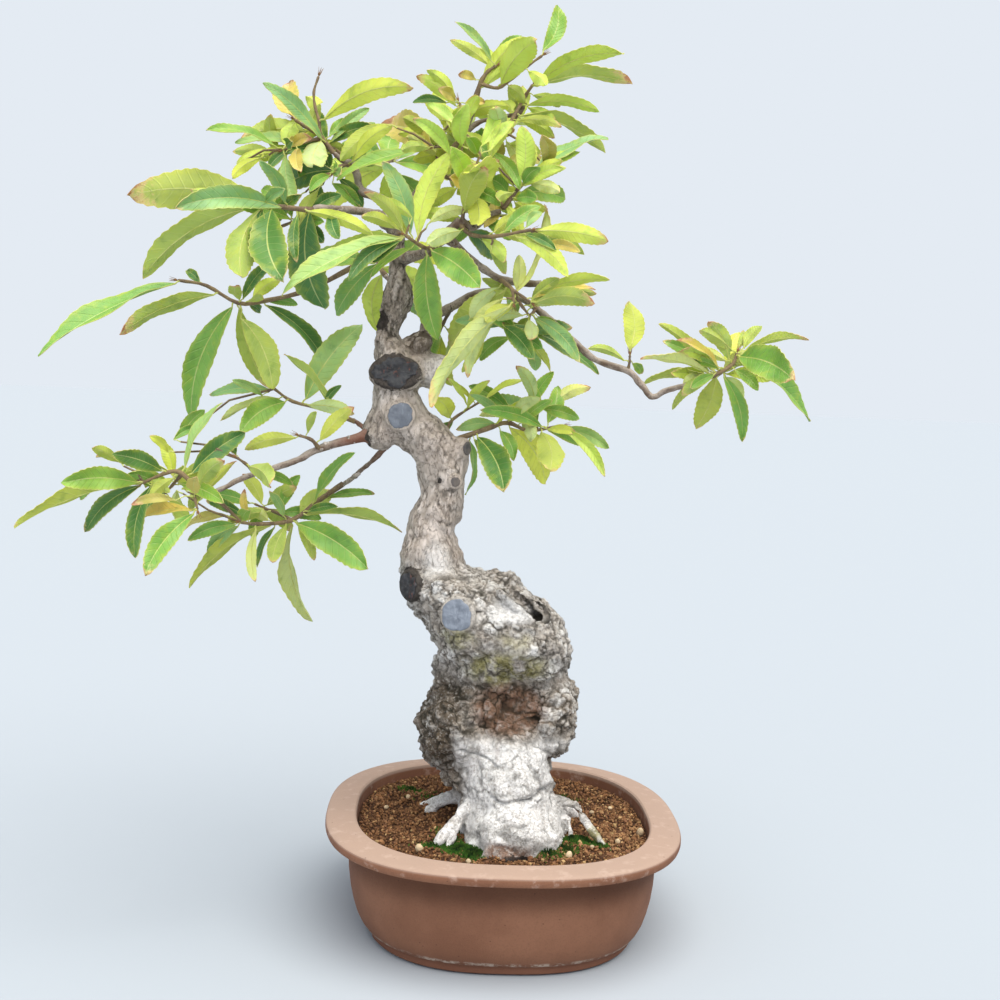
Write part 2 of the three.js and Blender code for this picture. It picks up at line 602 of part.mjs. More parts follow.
// Leafy sprays, read in the trunk's plane.
// A twig is its first and last radius, then x, z, depth at each bend. It starts inside its limb.
// A leaf is base x, base z, tip x, tip z, the width that shows, and its tone.
const sprays = [
  {
    name: "spray_far_left",
    twigs: [
      [3.0, 1.6, [
        [-133, 680, 4], [-172, 657, 30], [-215, 633, 52], [-255, 621, 62],
        [-284, 617, 62], [-316, 633, 56], [-343, 637, 50],
      ]],
    ],
    leaves: [
      [-341, 639, -481, 557, 18, "sheen"],
      [-319, 636, -336, 647, 10, "dark"],
      [-304, 625, -401, 581, 14, "olive"],
      [-289, 617, -328, 499, 28, "green"],
      [-286, 616, -251, 533, 20, "olive"],
      [-281, 602, -248, 533, 27, "lime"],
      [-261, 618, -194, 556, 16, "dark"],
      [-282, 616, -287, 634, 14, "olive"],
      [-277, 617, -259, 623, 8, "olive"],
      [-276, 616, -262, 609, 10, "dark"],
      [-283, 621, -252, 659, 14, "dark"],
      [-275, 620, -243, 642, 14, "lime"],
      [-261, 620, -225, 618, 10, "green"],
    ],
  },
  {
    name: "spray_left_hanging",
    twigs: [
      [3.0, 2.0, [[-213, 712, -43], [-234, 713, -54], [-263, 716, -64]]],
    ],
    leaves: [
      [-238, 711, -349, 708, 24, "sheen"],
      [-263, 714, -379, 638, 20, "olive"],
      [-267, 715, -281, 642, 30, "olive"],
      [-255, 710, -240, 642, 35, "dark"],
      [-216, 710, -198, 615, 36, "dark"],
      [-237, 715, -267, 758, 14, "sheen"],
      [-263, 724, -394, 718, 39, "lime"],
      [-257, 720, -304, 729, 10, "dark"],
      [-218, 722, -152, 690, 13, "lime"],
      [-227, 713, -222, 660, 12, "olive"],
    ],
  },
  {
    name: "spray_upper_left",
    twigs: [
      [2.6, 1.6, [[-194, 769, 5], [-206, 783, 4], [-214, 789, 2], [-224, 794, 0], [-232, 799, -4]]],
      [1.8, 1.2, [[-208, 786, 4], [-209, 799, 4], [-213, 812, 6], [-215, 827, 7], [-211, 842, 8]]],
      [2.0, 1.4, [[-206, 783, 4], [-223, 778, -12], [-243, 770, -20]]],
    ],
    leaves: [
      [-243, 768, -320, 785, 9, "green"],
      [-216, 788, -285, 780, 22, "olive"],
      [-220, 784, -291, 774, 10, "sheen"],
      [-200, 778, -265, 834, 14, "sheen"],
      [-227, 804, -239, 835, 27, "amber"],
      [-235, 774, -258, 749, 10, "dark"],
      [-230, 775, -226, 749, 14, "amber"],
      [-249, 766, -289, 756, 12, "lime"],
      [-206, 800, -117, 836, 21, "lime"],
      [-196, 780, -160, 814, 12, "sheen"],
      [-210, 808, -223, 823, 16, "lime"],
      [-206, 782, -214, 756, 27, "pale"],
      [-198, 785, -182, 802, 10, "green"],
    ],
  },
  {
    name: "spray_upper_left_inner",
    twigs: [
      [2.2, 1.5, [[-175, 757, 0], [-184, 757, -14], [-193, 750, -22]]],
    ],
    leaves: [
      [-177, 758, -137, 798, 15, "lime"],
      [-189, 753, -242, 733, 27, "dark"],
      [-192, 748, -163, 717, 12, "dark"],
      [-197, 748, -216, 730, 12, "green"],
    ],
  },
  {
    name: "spray_crown_left",
    twigs: [
      [3.4, 1.6, [[-88, 762, 12], [-76, 777, 4], [-69, 792, -2], [-66, 809, -4], [-71, 823, -6]]],
      [1.6, 1.2, [[-76, 777, 4], [-86, 780, -4], [-94, 779, -8]]],
    ],
    leaves: [
      [-94, 780, -149, 797, 33, "amber"],
      [-92, 778, -190, 743, 13, "green"],
      [-74, 815, -114, 848, 14, "lime"],
      [-66, 802, -100, 822, 10, "lime"],
      [-78, 778, -115, 806, 12, "lime"],
      [-69, 784, -63, 823, 20, "lime"],
      [-65, 750, -76, 780, 18, "lime"],
      [-68, 824, -92, 836, 12, "amber"],
      [-84, 823, -117, 822, 9, "dark"],
      [-75, 823, -104, 854, 13, "lime"],
      [-67, 799, -52, 831, 12, "lime"],
    ],
  },
  {
    name: "spray_crown_top",
    twigs: [
      [3.0, 1.4, [[-55, 828, 18], [-50, 845, 16], [-44, 855, 14], [-36, 861, 12]]],
      [2.0, 1.3, [[-50, 843, 16], [-33, 840, 10], [-19, 850, 4], [-4, 863, 0], [9, 873, -4]]],
    ],
    leaves: [
      [8, 874, 23, 923, 18, "lime"],
      [-32, 838, 3, 888, 29, "lime"],
      [-42, 855, -12, 892, 12, "green"],
      [-51, 843, -6, 869, 9, "lime"],
      [-36, 863, -78, 902, 9, "sheen"],
      [-38, 859, -82, 884, 11, "olive"],
      [-49, 845, -73, 851, 9, "amber"],
      [-47, 847, -32, 867, 8, "lime"],
      [-25, 844, -6, 826, 13, "olive"],
    ],
  },
  {
    name: "spray_crown_right",
    twigs: [
      [2.6, 1.5, [[-7, 824, 48], [-6, 832, 48], [1, 844, 44]]],
      [2.2, 1.4, [[-6, 832, 48], [-14, 817, 24], [-23, 801, 6], [-33, 787, -8]]],
    ],
    leaves: [
      [0, 843, 91, 879, 14, "lime"],
      [2, 842, 101, 850, 11, "olive"],
      [-6, 822, 69, 821, 10, "lime"],
      [-16, 808, 32, 805, 10, "olive"],
      [-14, 815, 77, 781, 10, "olive"],
      [-39, 781, -35, 820, 20, "pale"],
      [-35, 779, -15, 808, 14, "lime"],
      [-31, 766, -57, 791, 16, "green"],
      [-38, 777, -7, 741, 12, "green"],
    ],
  },
  {
    name: "spray_crown_middle",
    twigs: [
      [2.4, 1.4, [[-94, 755, 11], [-83, 751, 6], [-69, 746, -8], [-57, 739, -18], [-43, 737, -26]]],
    ],
    leaves: [
      [-59, 739, -25, 762, 8, "lime"],
      [-57, 741, -26, 725, 14, "green"],
      [-65, 744, -96, 721, 14, "lime"],
      [-43, 737, -14, 717, 16, "lime"],
      [-55, 737, -48, 704, 22, "lime"],
      [-72, 747, -80, 777, 16, "lime"],
      [-43, 739, -30, 770, 12, "lime"],
      [-81, 750, -58, 766, 12, "green"],
    ],
  },
  {
    name: "spray_crown_low",
    twigs: [
      [2.4, 1.4, [[-23, 722, -30], [-8, 743, -26], [0, 751, -24]]],
    ],
    leaves: [
      [-2, 754, 79, 796, 14, "sheen"],
      [-8, 745, -7, 802, 22, "lime"],
      [-8, 743, 38, 765, 12, "lime"],
      [-5, 735, 39, 734, 21, "green"],
      [12, 723, -29, 730, 11, "olive"],
      [-15, 731, -41, 751, 16, "green"],
      [-20, 725, -5, 700, 12, "lime"],
    ],
  },
  {
    name: "spray_centre",
    twigs: [
      [2.6, 1.5, [[-92, 679, -30], [-101, 680, -50], [-120, 691, -70]]],
    ],
    leaves: [
      [-112, 687, -145, 763, 18, "sheen"],
      [-108, 687, -76, 777, 21, "lime"],
      [-117, 691, -162, 732, 12, "olive"],
      [-119, 691, -138, 713, 9, "lime"],
      [-113, 687, -134, 709, 9, "lime"],
      [-120, 690, -241, 627, 17, "sheen"],
      [-123, 690, -200, 663, 12, "lime"],
      [-121, 687, -175, 644, 14, "dark"],
      [-109, 681, -153, 648, 9, "green"],
      [-99, 676, -84, 589, 26, "green"],
      [-97, 676, -43, 642, 29, "green"],
    ],
  },
  {
    name: "spray_centre_right",
    twigs: [
      [2.4, 1.5, [[-66, 705, -36], [-55, 695, -50], [-31, 694, -70], [5, 702, -92]]],
    ],
    leaves: [
      [-62, 699, -31, 674, 24, "dark"],
      [-66, 703, -97, 683, 17, "pale"],
      [7, 704, 84, 694, 18, "lime"],
      [-11, 697, 60, 680, 14, "olive"],
      [-13, 695, 44, 657, 16, "lime"],
      [-27, 697, 14, 726, 14, "green"],
      [-37, 696, -6, 715, 12, "olive"],
      [-5, 700, 32, 683, 10, "dark"],
    ],
  },
  {
    name: "spray_right_hanging",
    twigs: [
      [2.6, 1.5, [[-23, 651, -30], [-17, 647, -44], [-11, 642, -56], [-9, 630, -60]]],
      [1.6, 1.2, [[-11, 642, -56], [-1, 636, -60], [8, 630, -62]]],
    ],
    leaves: [
      [-15, 644, -72, 582, 29, "olive"],
      [-8, 627, -89, 521, 17, "pale"],
      [17, 641, 87, 656, 10, "amber"],
      [8, 631, 74, 641, 13, "amber"],
      [9, 627, 73, 631, 18, "lime"],
      [-11, 632, 19, 727, 5, "pale"],
      [-23, 643, -52, 612, 14, "pale"],
    ],
  },
  {
    name: "spray_middle_hanging",
    twigs: [
      [2.6, 1.5, [[-47, 634, 8], [-40, 622, -6], [-34, 615, -14], [-22, 609, -18]]],
    ],
    leaves: [
      [-29, 609, -52, 552, 12, "pale"],
      [-36, 615, -73, 557, 27, "pale"],
      [-22, 609, 13, 573, 20, "dark"],
      [-17, 607, 80, 560, 16, "dark"],
      [-19, 605, 31, 561, 8, "olive"],
    ],
  },
  {
    name: "spray_middle_right",
    twigs: [
      [2.0, 1.3, [[14, 624, -4], [12, 621, -14], [9, 618, -22]]],
    ],
    leaves: [
      [9, 618, 60, 572, 15, "sheen"],
      [11, 620, -5, 592, 12, "olive"],
      [12, 618, 39, 600, 11, "green"],
    ],
  },
  {
    name: "spray_middle_back",
    twigs: [
      [2.2, 1.4, [[-73, 618, 12], [-78, 607, 26], [-82, 597, 36]]],
    ],
    leaves: [
      [-81, 599, -90, 569, 14, "green"],
      [-80, 601, -121, 623, 14, "sheen"],
      [-79, 603, -47, 578, 16, "olive"],
      [-82, 595, -68, 543, 18, "lime"],
    ],
  },
  {
    name: "spray_right_upright",
    twigs: [
      [1.6, 1.2, [[110, 567, -42], [111, 574, -45], [111, 580, -47]]],
    ],
    leaves: [
      [111, 580, 108, 635, 21, "lime"],
      [111, 574, 68, 586, 9, "lime"],
      [111, 576, 124, 563, 9, "green"],
    ],
  },
  {
    name: "spray_right_tip",
    twigs: [
      [2.6, 1.5, [[182, 556, -58], [214, 574, -62], [220, 587, -62]]],
    ],
    leaves: [
      [214, 577, 190, 618, 17, "lime"],
      [198, 568, 139, 614, 11, "lime"],
      [192, 563, 144, 597, 12, "green"],
      [206, 570, 158, 598, 9, "amber"],
      [221, 591, 226, 611, 8, "lime"],
      [223, 589, 293, 604, 9, "lime"],
      [222, 584, 279, 563, 33, "green"],
      [222, 579, 298, 521, 17, "green"],
      [216, 573, 244, 551, 12, "green"],
      [208, 566, 230, 498, 16, "green"],
      [204, 564, 182, 509, 24, "lime"],
      [196, 566, 122, 577, 9, "amber"],
      [196, 562, 127, 553, 8, "lime"],
      [208, 572, 165, 578, 9, "green"],
      [200, 564, 166, 543, 12, "olive"],
      [198, 561, 157, 528, 9, "olive"],
    ],
  },
  {
    name: "spray_lower_right",
    twigs: [
      [3.0, 1.6, [[-66, 487, 4], [-31, 501, 22], [-10, 508, 32], [12, 501, 38], [45, 507, 48]]],
    ],
    leaves: [
      [-42, 496, -11, 437, 30, "dark"],
      [-10, 505, 31, 448, 27, "lime"],
      [-19, 502, -2, 470, 14, "green"],
      [24, 502, 35, 462, 28, "olive"],
      [27, 503, 61, 489, 10, "lime"],
      [45, 505, 91, 457, 13, "lime"],
      [39, 507, 94, 486, 16, "sheen"],
      [29, 508, 39, 547, 17, "green"],
      [29, 508, -38, 520, 16, "green"],
      [24, 508, -26, 531, 24, "sheen"],
      [-15, 507, -62, 499, 13, "sheen"],
      [-26, 503, 8, 532, 8, "lime"],
      [-48, 494, -50, 433, 7, "green"],
    ],
  },
  {
    name: "spray_right_thin",
    twigs: [
      [2.0, 1.2, [[-72, 496, 12], [-66, 509, 20], [-39, 528, 30]]],
    ],
    leaves: [
      [-49, 521, -74, 551, 5, "lime"],
      [-39, 530, 7, 552, 6, "lime"],
      [-43, 525, -64, 545, 5, "lime"],
      [-68, 509, -88, 531, 18, "lime"],
      [-63, 513, -78, 492, 10, "green"],
    ],
  },
  {
    name: "spray_lower_left_tip",
    twigs: [
      [2.8, 1.5, [[-314, 422, -64], [-336, 444, -66], [-350, 445, -64], [-374, 434, -60]]],
      [1.8, 1.2, [[-326, 434, -65], [-322, 418, -72], [-320, 409, -76]]],
    ],
    leaves: [
      [-374, 433, -456, 430, 23, "green"],
      [-372, 436, -502, 383, 10, "lime"],
      [-342, 450, -422, 458, 9, "lime"],
      [-350, 443, -406, 461, 18, "dark"],
      [-372, 431, -431, 382, 18, "dark"],
      [-362, 433, -381, 357, 18, "dark"],
      [-342, 417, -386, 411, 9, "amber"],
      [-321, 408, -390, 384, 11, "amber"],
      [-319, 405, -371, 340, 22, "green"],
      [-336, 450, -297, 517, 9, "sheen"],
      [-328, 444, -274, 488, 22, "dark"],
      [-322, 426, -295, 459, 17, "lime"],
      [-319, 414, -282, 459, 8, "lime"],
      [-326, 420, -322, 442, 13, "amber"],
      [-340, 440, -368, 416, 12, "lime"],
    ],
  },
  {
    name: "spray_lower_left_middle",
    twigs: [
      [3.0, 1.6, [[-174, 440, 43], [-197, 423, 38], [-225, 401, 22], [-259, 396, 8], [-275, 397, 4]]],
    ],
    leaves: [
      [-221, 405, -182, 431, 22, "olive"],
      [-207, 420, -164, 472, 11, "green"],
      [-195, 423, -142, 431, 9, "green"],
      [-215, 406, -113, 393, 11, "olive"],
      [-223, 397, -146, 354, 31, "green"],
      [-224, 395, -201, 298, 14, "pale"],
      [-228, 395, -243, 357, 17, "olive"],
      [-241, 395, -326, 328, 14, "olive"],
      [-239, 394, -258, 352, 8, "dark"],
      [-261, 392, -260, 337, 11, "pale"],
      [-275, 396, -307, 363, 15, "sheen"],
      [-279, 399, -329, 377, 15, "green"],
      [-218, 397, -201, 361, 12, "olive"],
      [-245, 401, -268, 410, 12, "pale"],
      [-231, 405, -248, 430, 10, "sheen"],
      [-273, 404, -311, 418, 12, "dark"],
      [-267, 402, -273, 431, 8, "amber"],
      [-213, 408, -179, 417, 10, "dark"],
      [-289, 403, -337, 385, 9, "amber"],
    ],
  },
  {
    name: "spray_left_middle",
    twigs: [
      [2.4, 1.4, [[-164, 503, 18], [-194, 514, 26], [-227, 521, 30], [-246, 533, 30]]],
    ],
    leaves: [
      [-232, 521, -278, 488, 24, "green"],
      [-236, 524, -299, 499, 8, "pale"],
      [-246, 534, -310, 524, 12, "sheen"],
      [-216, 519, -165, 511, 14, "pale"],
      [-217, 522, -160, 601, 29, "sheen"],
      [-180, 512, -237, 568, 9, "lime"],
      [-198, 516, -179, 539, 8, "dark"],
    ],
  },
  {
    name: "spray_left_low",
    twigs: [
      [2.4, 1.4, [[-199, 474, -24], [-207, 483, -38], [-219, 487, -46]]],
    ],
    leaves: [
      [-203, 477, -166, 518, 15, "lime"],
      [-213, 485, -204, 512, 8, "lime"],
      [-217, 486, -274, 471, 14, "lime"],
    ],
  },
  {
    name: "spray_left_outer",
    twigs: [
      [2.0, 1.3, [[-263, 447, -40], [-272, 456, -50], [-281, 462, -56]]],
    ],
    leaves: [
      [-279, 462, -293, 480, 10, "green"],
      [-272, 456, -248, 435, 20, "olive"],
      [-266, 453, -225, 437, 10, "green"],
    ],
  },
];

// Leaves of the back sprays follow the twig in a spiral and hang a little.
function backSpray(name, twig, count, seed) {
  const leaves = [];
  const last = twig.length - 1;
  for (let i = 0; i < count; i += 1) {
    const share = 0.35 + (0.65 * i) / (count - 1);
    const spot = Math.min(Math.floor(share * last), last - 1);
    const part = share * last - spot;
    const x = twig[spot][0] + (twig[spot + 1][0] - twig[spot][0]) * part;
    const z = twig[spot][1] + (twig[spot + 1][1] - twig[spot][1]) * part;
    const heading = i * spiralStep + seed;
    const reach = 58 + 30 * draw(seed + i);
    leaves.push([
      x + 4 * Math.cos(heading), z + 4 * Math.sin(heading),
      x + reach * Math.cos(heading), z + reach * 0.6 * Math.sin(heading) - 14,
      24, i % 3 ? "green" : "lime", -48,
    ]);
  }
  return { name, twigs: [[3, 1.6, twig]], leaves };
}

const backCrownTwig = [[-132, 748, 90], [-138, 756, 112], [-140, 762, 138], [-134, 764, 164]];
const backStemTwig = [[-138, 650, 92], [-144, 658, 116], [-146, 664, 142], [-138, 668, 168]];
sprays.push(
  backSpray("spray_back_crown", backCrownTwig, 8, 3),
  backSpray("spray_back_stem", backStemTwig, 7, 11),
);

// Undersides show where the tone is a matt one, and overhead where light comes through.
function showsUnderside(tone, baseHeight) {
  return tone === "olive" || tone === "pale" || (tone === "lime" && baseHeight > backlitHeight);
}

// The twig point nearest to a leaf's base, in the trunk's plane, with its depth.
function nearestOnTwig(spray, x, z) {
  let best = null;
  for (const [, , path] of spray.twigs) {
    for (let i = 0; i + 1 < path.length; i += 1) {
      const [ax, az, ad] = path[i];
      const [bx, bz, bd] = path[i + 1];
      const span = (bx - ax) ** 2 + (bz - az) ** 2;
      const along = ((x - ax) * (bx - ax) + (z - az) * (bz - az)) / span;
      const firstLeaf = i === 0 ? 0.5 : 0;
      const share = Math.min(Math.max(along, firstLeaf), 1);
      const spot = [ax + (bx - ax) * share, az + (bz - az) * share, ad + (bd - ad) * share];
      const distance = Math.hypot(spot[0] - x, spot[1] - z);
      if (!best || distance < best.distance) {
        best = { distance, spot };
      }
    }
  }
  return best.spot;
}

// Leans out of the picture's plane that are tried in turn until a leaf is clear.
const leanShifts = [0, 8, -8, 16, -16, 25, -25, 36, -36, 48, -48].map((degrees) => degrees * (Math.PI / 180));

function placeLeaf(spray, row, seed, shift) {
  const [baseX, baseZ, tipX, tipZ, shownWidth, tone, ownLean] = row;
  const [footX, footZ, depth] = nearestOnTwig(spray, baseX, baseZ);
  const stalkFoot = onSight(footX, footZ, depth);
  let base = onSight(baseX, baseZ, depth);
  const shownLength = Math.hypot(tipX - baseX, tipZ - baseZ);
  const most = shownLength > heavyLeaf ? heavyLeafLean : mostLean;
  const foreshortened = Math.acos(Math.min(1, shownLength / (3 * shownWidth)));
  const spiral = spiralLean * Math.sin(spiralStep * seed);
  const wanted = ownLean === undefined
    ? Math.sign(spiral) * Math.max(Math.abs(spiral), foreshortened)
    : ownLean * (Math.PI / 180);
  const lean = Math.min(Math.max(wanted + shift, -most), most);
  const tip = onSight(tipX, tipZ, depth - shownLength * Math.tan(lean));

  const reach = base.clone().sub(stalkFoot);
  const ahead = tip.clone().sub(stalkFoot).normalize();
  if (reach.length() < petioleReach || reach.clone().normalize().dot(ahead) < petioleBend) {
    base = stalkFoot.clone().addScaledVector(ahead, petioleReach);
  }
  const along = tip.clone().sub(base);
  const length = along.length();
  along.normalize();
  const toEye = new THREE.Vector3(0, -1, 0);
  toEye.addScaledVector(along, -toEye.dot(along)).normalize();
  const upward = along.clone().cross(toEye);
  if (upward.dot(new THREE.Vector3(baseX < trunkMiddle ? -0.4 : 0.4, 0, 1)) < 0) {
    upward.negate();
  }
  const width = Math.max(shownWidth, slimness * length);
  const turn = Math.asin(Math.min(1, shownWidth / width)) * (showsUnderside(tone, baseZ) ? -1 : 1);
  const normal = upward.clone().multiplyScalar(Math.cos(turn)).addScaledVector(toEye, Math.sin(turn));
  return { stalkFoot, base, along, length, width, lift: upward, normal, seed };
}

const overlaps = (a, b) => !a.intersect(b).isEmpty();

// The outer part of a blade, away from where the stalks of one spray meet.
function outerBlade(leaf) {
  const step = (share) => leaf.base.clone().addScaledVector(leaf.along, leaf.length * share);
  const outer = { stalkFoot: step(0.1), base: step(0.2), length: leaf.length * 0.8 };
  return leafShape({ ...leaf, ...outer }, leafClearance);
}

function twigSolid([first, last, path], grow) {
  const radii = path.map((_, i) => first + ((last - first) * i) / (path.length - 1) + grow);
  return stem(path.map((point) => onSight(...point)), radii, 4);
}

// Twigs first, so that every leaf can be bent clear of the other sprays' twigs.
for (const spray of sprays) {
  spray.wood = join(spray.twigs.map((twig) => twigSolid(twig, 0)));
  spray.woodRoom = join(spray.twigs.map((twig) => twigSolid(twig, seatGap)));
}

let leafCount = 0;
const placed = [];
for (const spray of sprays) {
  const others = sprays.filter((other) => other !== spray).map((other) => other.woodRoom);
  const parts = [spray.wood];
  for (const row of spray.leaves) {
    leafCount += 1;
    const [baseX, baseZ, tipX, tipZ] = row;
    if (Math.hypot(tipX - baseX, tipZ - baseZ) < youngLeaf) {
      continue;
    }
    const tries = leanShifts.map((shift) => {
      const leaf = placeLeaf(spray, row, leafCount, shift);
      return { leaf, room: leafShape(leaf, leafClearance * 2), blade: outerBlade(leaf) };
    });
    const foreign = placed.filter((item) => item.spray !== spray).map((item) => item.room);
    const own = placed.filter((item) => item.spray === spray).map((item) => item.blade);
    const clearOfOthers = tries.filter(({ room }) => (
      ![trunkRoom, ...others, ...foreign].some((item) => overlaps(room, item))
    ));
    const clearOfAll = clearOfOthers.find(({ blade }) => !own.some((item) => overlaps(blade, item)));
    const chosen = clearOfAll ?? clearOfOthers[0];
    if (!chosen) {
      console.warn("no clear lean", spray.name, row.join(" "));
      continue;
    }
    placed.push({ spray, ...chosen });
    parts.push(leafShape(chosen.leaf));
  }
  spray.solid = largest(join(parts).subtract(trunkRoom));
}

// The finished plant in its pot

const finishes = {
  clay: { color: 0x8a5f4c, roughness: 0.85 },
  soil: { color: 0x6b4a35, roughness: 1 },
  bark: { color: 0xcfc3b8, roughness: 0.95 },
  mesh: { color: 0x2f3133, roughness: 0.7 },
  leaf: { color: 0x86b43a, roughness: 0.5 },
};

const bonsai = new THREE.Group();

function addPiece(name, solid, finish) {
  const material = new THREE.MeshStandardMaterial({ metalness: 0, ...finish });
  const mesh = new THREE.Mesh(toGeometry(solid), material);
  mesh.name = name;
  bonsai.add(mesh);
}

addPiece("pot", makePot(), finishes.clay);
addPiece("drain_mesh_front", makeDrainMesh(-drainSpacing), finishes.mesh);
addPiece("drain_mesh_back", makeDrainMesh(drainSpacing), finishes.mesh);
addPiece("soil", makeSoil(), finishes.soil);
addPiece("trunk", trunk, finishes.bark);
for (const cut of cuts) {
  addPiece(`seal_${cut.name}`, makeSeal(cut, trunkRoom), { color: paste[cut.tone], roughness: 0.6 });
}
for (const spray of sprays) {
  addPiece(spray.name, spray.solid, finishes.leaf);
}

export default bonsai;
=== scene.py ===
# Chestnut-leaved oak bonsai in an unglazed oval training pot.
# Sizes are in millimetres and become metres in each mesh. +Z is up, and Y points away from the front view.
import math

import bmesh
import bpy
import numpy as np
from mathutils import Matrix, Quaternion, Vector, noise


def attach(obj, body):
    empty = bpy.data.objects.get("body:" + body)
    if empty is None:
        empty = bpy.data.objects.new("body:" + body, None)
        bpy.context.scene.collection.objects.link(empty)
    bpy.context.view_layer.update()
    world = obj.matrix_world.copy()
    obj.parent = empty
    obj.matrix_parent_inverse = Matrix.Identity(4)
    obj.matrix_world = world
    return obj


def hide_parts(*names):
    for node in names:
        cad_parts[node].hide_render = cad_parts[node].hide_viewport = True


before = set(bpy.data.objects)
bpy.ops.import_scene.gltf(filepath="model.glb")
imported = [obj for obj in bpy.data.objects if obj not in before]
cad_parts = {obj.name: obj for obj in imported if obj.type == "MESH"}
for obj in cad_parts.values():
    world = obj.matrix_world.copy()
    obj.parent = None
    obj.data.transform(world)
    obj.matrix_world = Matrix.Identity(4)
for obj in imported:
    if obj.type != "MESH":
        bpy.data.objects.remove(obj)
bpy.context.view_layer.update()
MM = 0.001


# The pot
# A slab-built training pot of unglazed brown clay, oval with flattened sides. The broad lip slopes a
# little outwards and was wiped smooth, the wall bulges above a low foot, and the floor has two drain
# holes with a shallow groove through each. Hard water has left a pale line where the wall meets the foot.

POT_HALF_WIDTH = 180.0
POT_HALF_DEPTH = 210.0
OVAL_POWER = 2.55
POT_SIDES = 144
DRAIN_SPACING = 75.0
DRAIN_RADIUS = 11.0
GROOVE_WIDTH = 14.0
GROOVE_DEPTH = 4.0

# Half width and height, from the foot up the outside, over the lip and down the inside.
POT_PROFILE = [
    (134.6, 0.0), (136.0, 1.2), (136.6, 4.5), (137.0, 7.2), (138.2, 8.6), (141.2, 10.4),
    (144.4, 14.6), (147.6, 21.0), (150.6, 30.5), (153.4, 43.0), (155.2, 57.0), (156.0, 72.0),
    (156.2, 86.0), (156.6, 93.0), (158.4, 96.3), (162.5, 97.2), (176.8, 97.5), (179.2, 98.4),
    (180.0, 100.6), (180.0, 104.0), (179.3, 106.2), (177.0, 107.5), (173.0, 108.0), (153.5, 109.9),
    (150.8, 109.7), (149.3, 108.4), (148.8, 104.0), (147.6, 90.0), (145.0, 60.0), (138.5, 36.0),
    (130.0, 12.0),
]


def oval_ring(half_width, height, sides):
    half_depth = half_width + POT_HALF_DEPTH - POT_HALF_WIDTH
    turn = np.arange(sides) / sides * 2 * math.pi
    c, s = np.cos(turn), np.sin(turn)
    reach = (np.abs(c) ** OVAL_POWER + np.abs(s) ** OVAL_POWER) ** (-1 / OVAL_POWER)
    return np.stack([half_width * reach * c, half_depth * reach * s, np.full(sides, height)], axis=1)


def deselect():
    if bpy.context.object and bpy.context.object.mode != "OBJECT":
        bpy.ops.object.mode_set(mode="OBJECT")
    bpy.ops.object.select_all(action="DESELECT")


def apply_modifiers(piece):
    deselect()
    piece.select_set(True)
    bpy.context.view_layer.objects.active = piece
    for modifier in list(piece.modifiers):
        bpy.ops.object.modifier_apply(modifier=modifier.name)


def join_pieces(pieces, name):
    deselect()
    for piece in pieces:
        piece.select_set(True)
    bpy.context.view_layer.objects.active = pieces[0]
    if len(pieces) > 1:
        bpy.ops.object.join()
    pieces[0].name = pieces[0].data.name = name
    return pieces[0]


def raise_skin(name, rings):
    """A closed skin: a disc is laid on the first ring and extruded from ring to ring."""
    deselect()
    bpy.ops.mesh.primitive_circle_add(vertices=len(rings[0]), radius=1, fill_type="NGON")
    piece = bpy.context.object
    piece.name = piece.data.name = name
    bpy.ops.object.mode_set(mode="EDIT")
    edit = bmesh.from_edit_mesh(piece.data)
    edit.verts.ensure_lookup_table()
    ring = list(range(len(rings[0])))
    for index, place in zip(ring, rings[0]):
        edit.verts[index].co = Vector(place) * MM
    for places in rings[1:]:
        bpy.ops.mesh.extrude_region_move()
        edit = bmesh.from_edit_mesh(piece.data)
        edit.verts.index_update()
        edit.verts.ensure_lookup_table()
        new_from = len(edit.verts) - len(ring)
        lifted = []
        for index, place in zip(ring, places):
            old = edit.verts[index]
            ends = [edge.other_vert(old) for edge in old.link_edges]
            new = next(end for end in ends if end.index >= new_from)
            new.co = Vector(place) * MM
            lifted.append(new.index)
        ring = lifted
    bmesh.update_edit_mesh(piece.data)
    bpy.ops.mesh.select_all(action="SELECT")
    bpy.ops.mesh.normals_make_consistent(inside=False)
    bpy.ops.object.mode_set(mode="OBJECT")
    return piece


def shade(piece, degrees):
    deselect()
    piece.select_set(True)
    bpy.context.view_layer.objects.active = piece
    bpy.ops.object.shade_smooth_by_angle(angle=math.radians(degrees))


def cut_away(piece, cutters):
    for cutter in cutters:
        cut = piece.modifiers.new("cut", "BOOLEAN")
        cut.operation = "DIFFERENCE"
        cut.solver = "EXACT"
        cut.object = cutter
    apply_modifiers(piece)
    for cutter in cutters:
        bpy.data.objects.remove(cutter)


def linear(colour):
    """An sRGB hex colour as the linear values that shaders take."""
    channels = [int(colour[i:i + 2], 16) / 255 for i in (1, 3, 5)]
    return tuple(c / 12.92 if c <= 0.04045 else ((c + 0.055) / 1.055) ** 2.4 for c in channels) + (1.0,)


def add_node(material, kind, links=None, output=0, **settings):
    """Adds a shader node with its settings and inputs, each a value or a socket, and gives one output."""
    node = material.node_tree.nodes.new("ShaderNode" + kind)
    for key, value in settings.items():
        setattr(node, key, value)
    for socket, value in (links or {}).items():
        if isinstance(value, bpy.types.NodeSocket):
            material.node_tree.links.new(value, node.inputs[socket])
        else:
            node.inputs[socket].default_value = value
    return node.outputs[output]


def new_material(name, roughness, specular=0.5):
    material = bpy.data.materials.new(name)
    material.use_nodes = True
    shader = material.node_tree.nodes["Principled BSDF"]
    shader.inputs["Roughness"].default_value = roughness
    shader.inputs["Specular IOR Level"].default_value = specular
    return material, shader


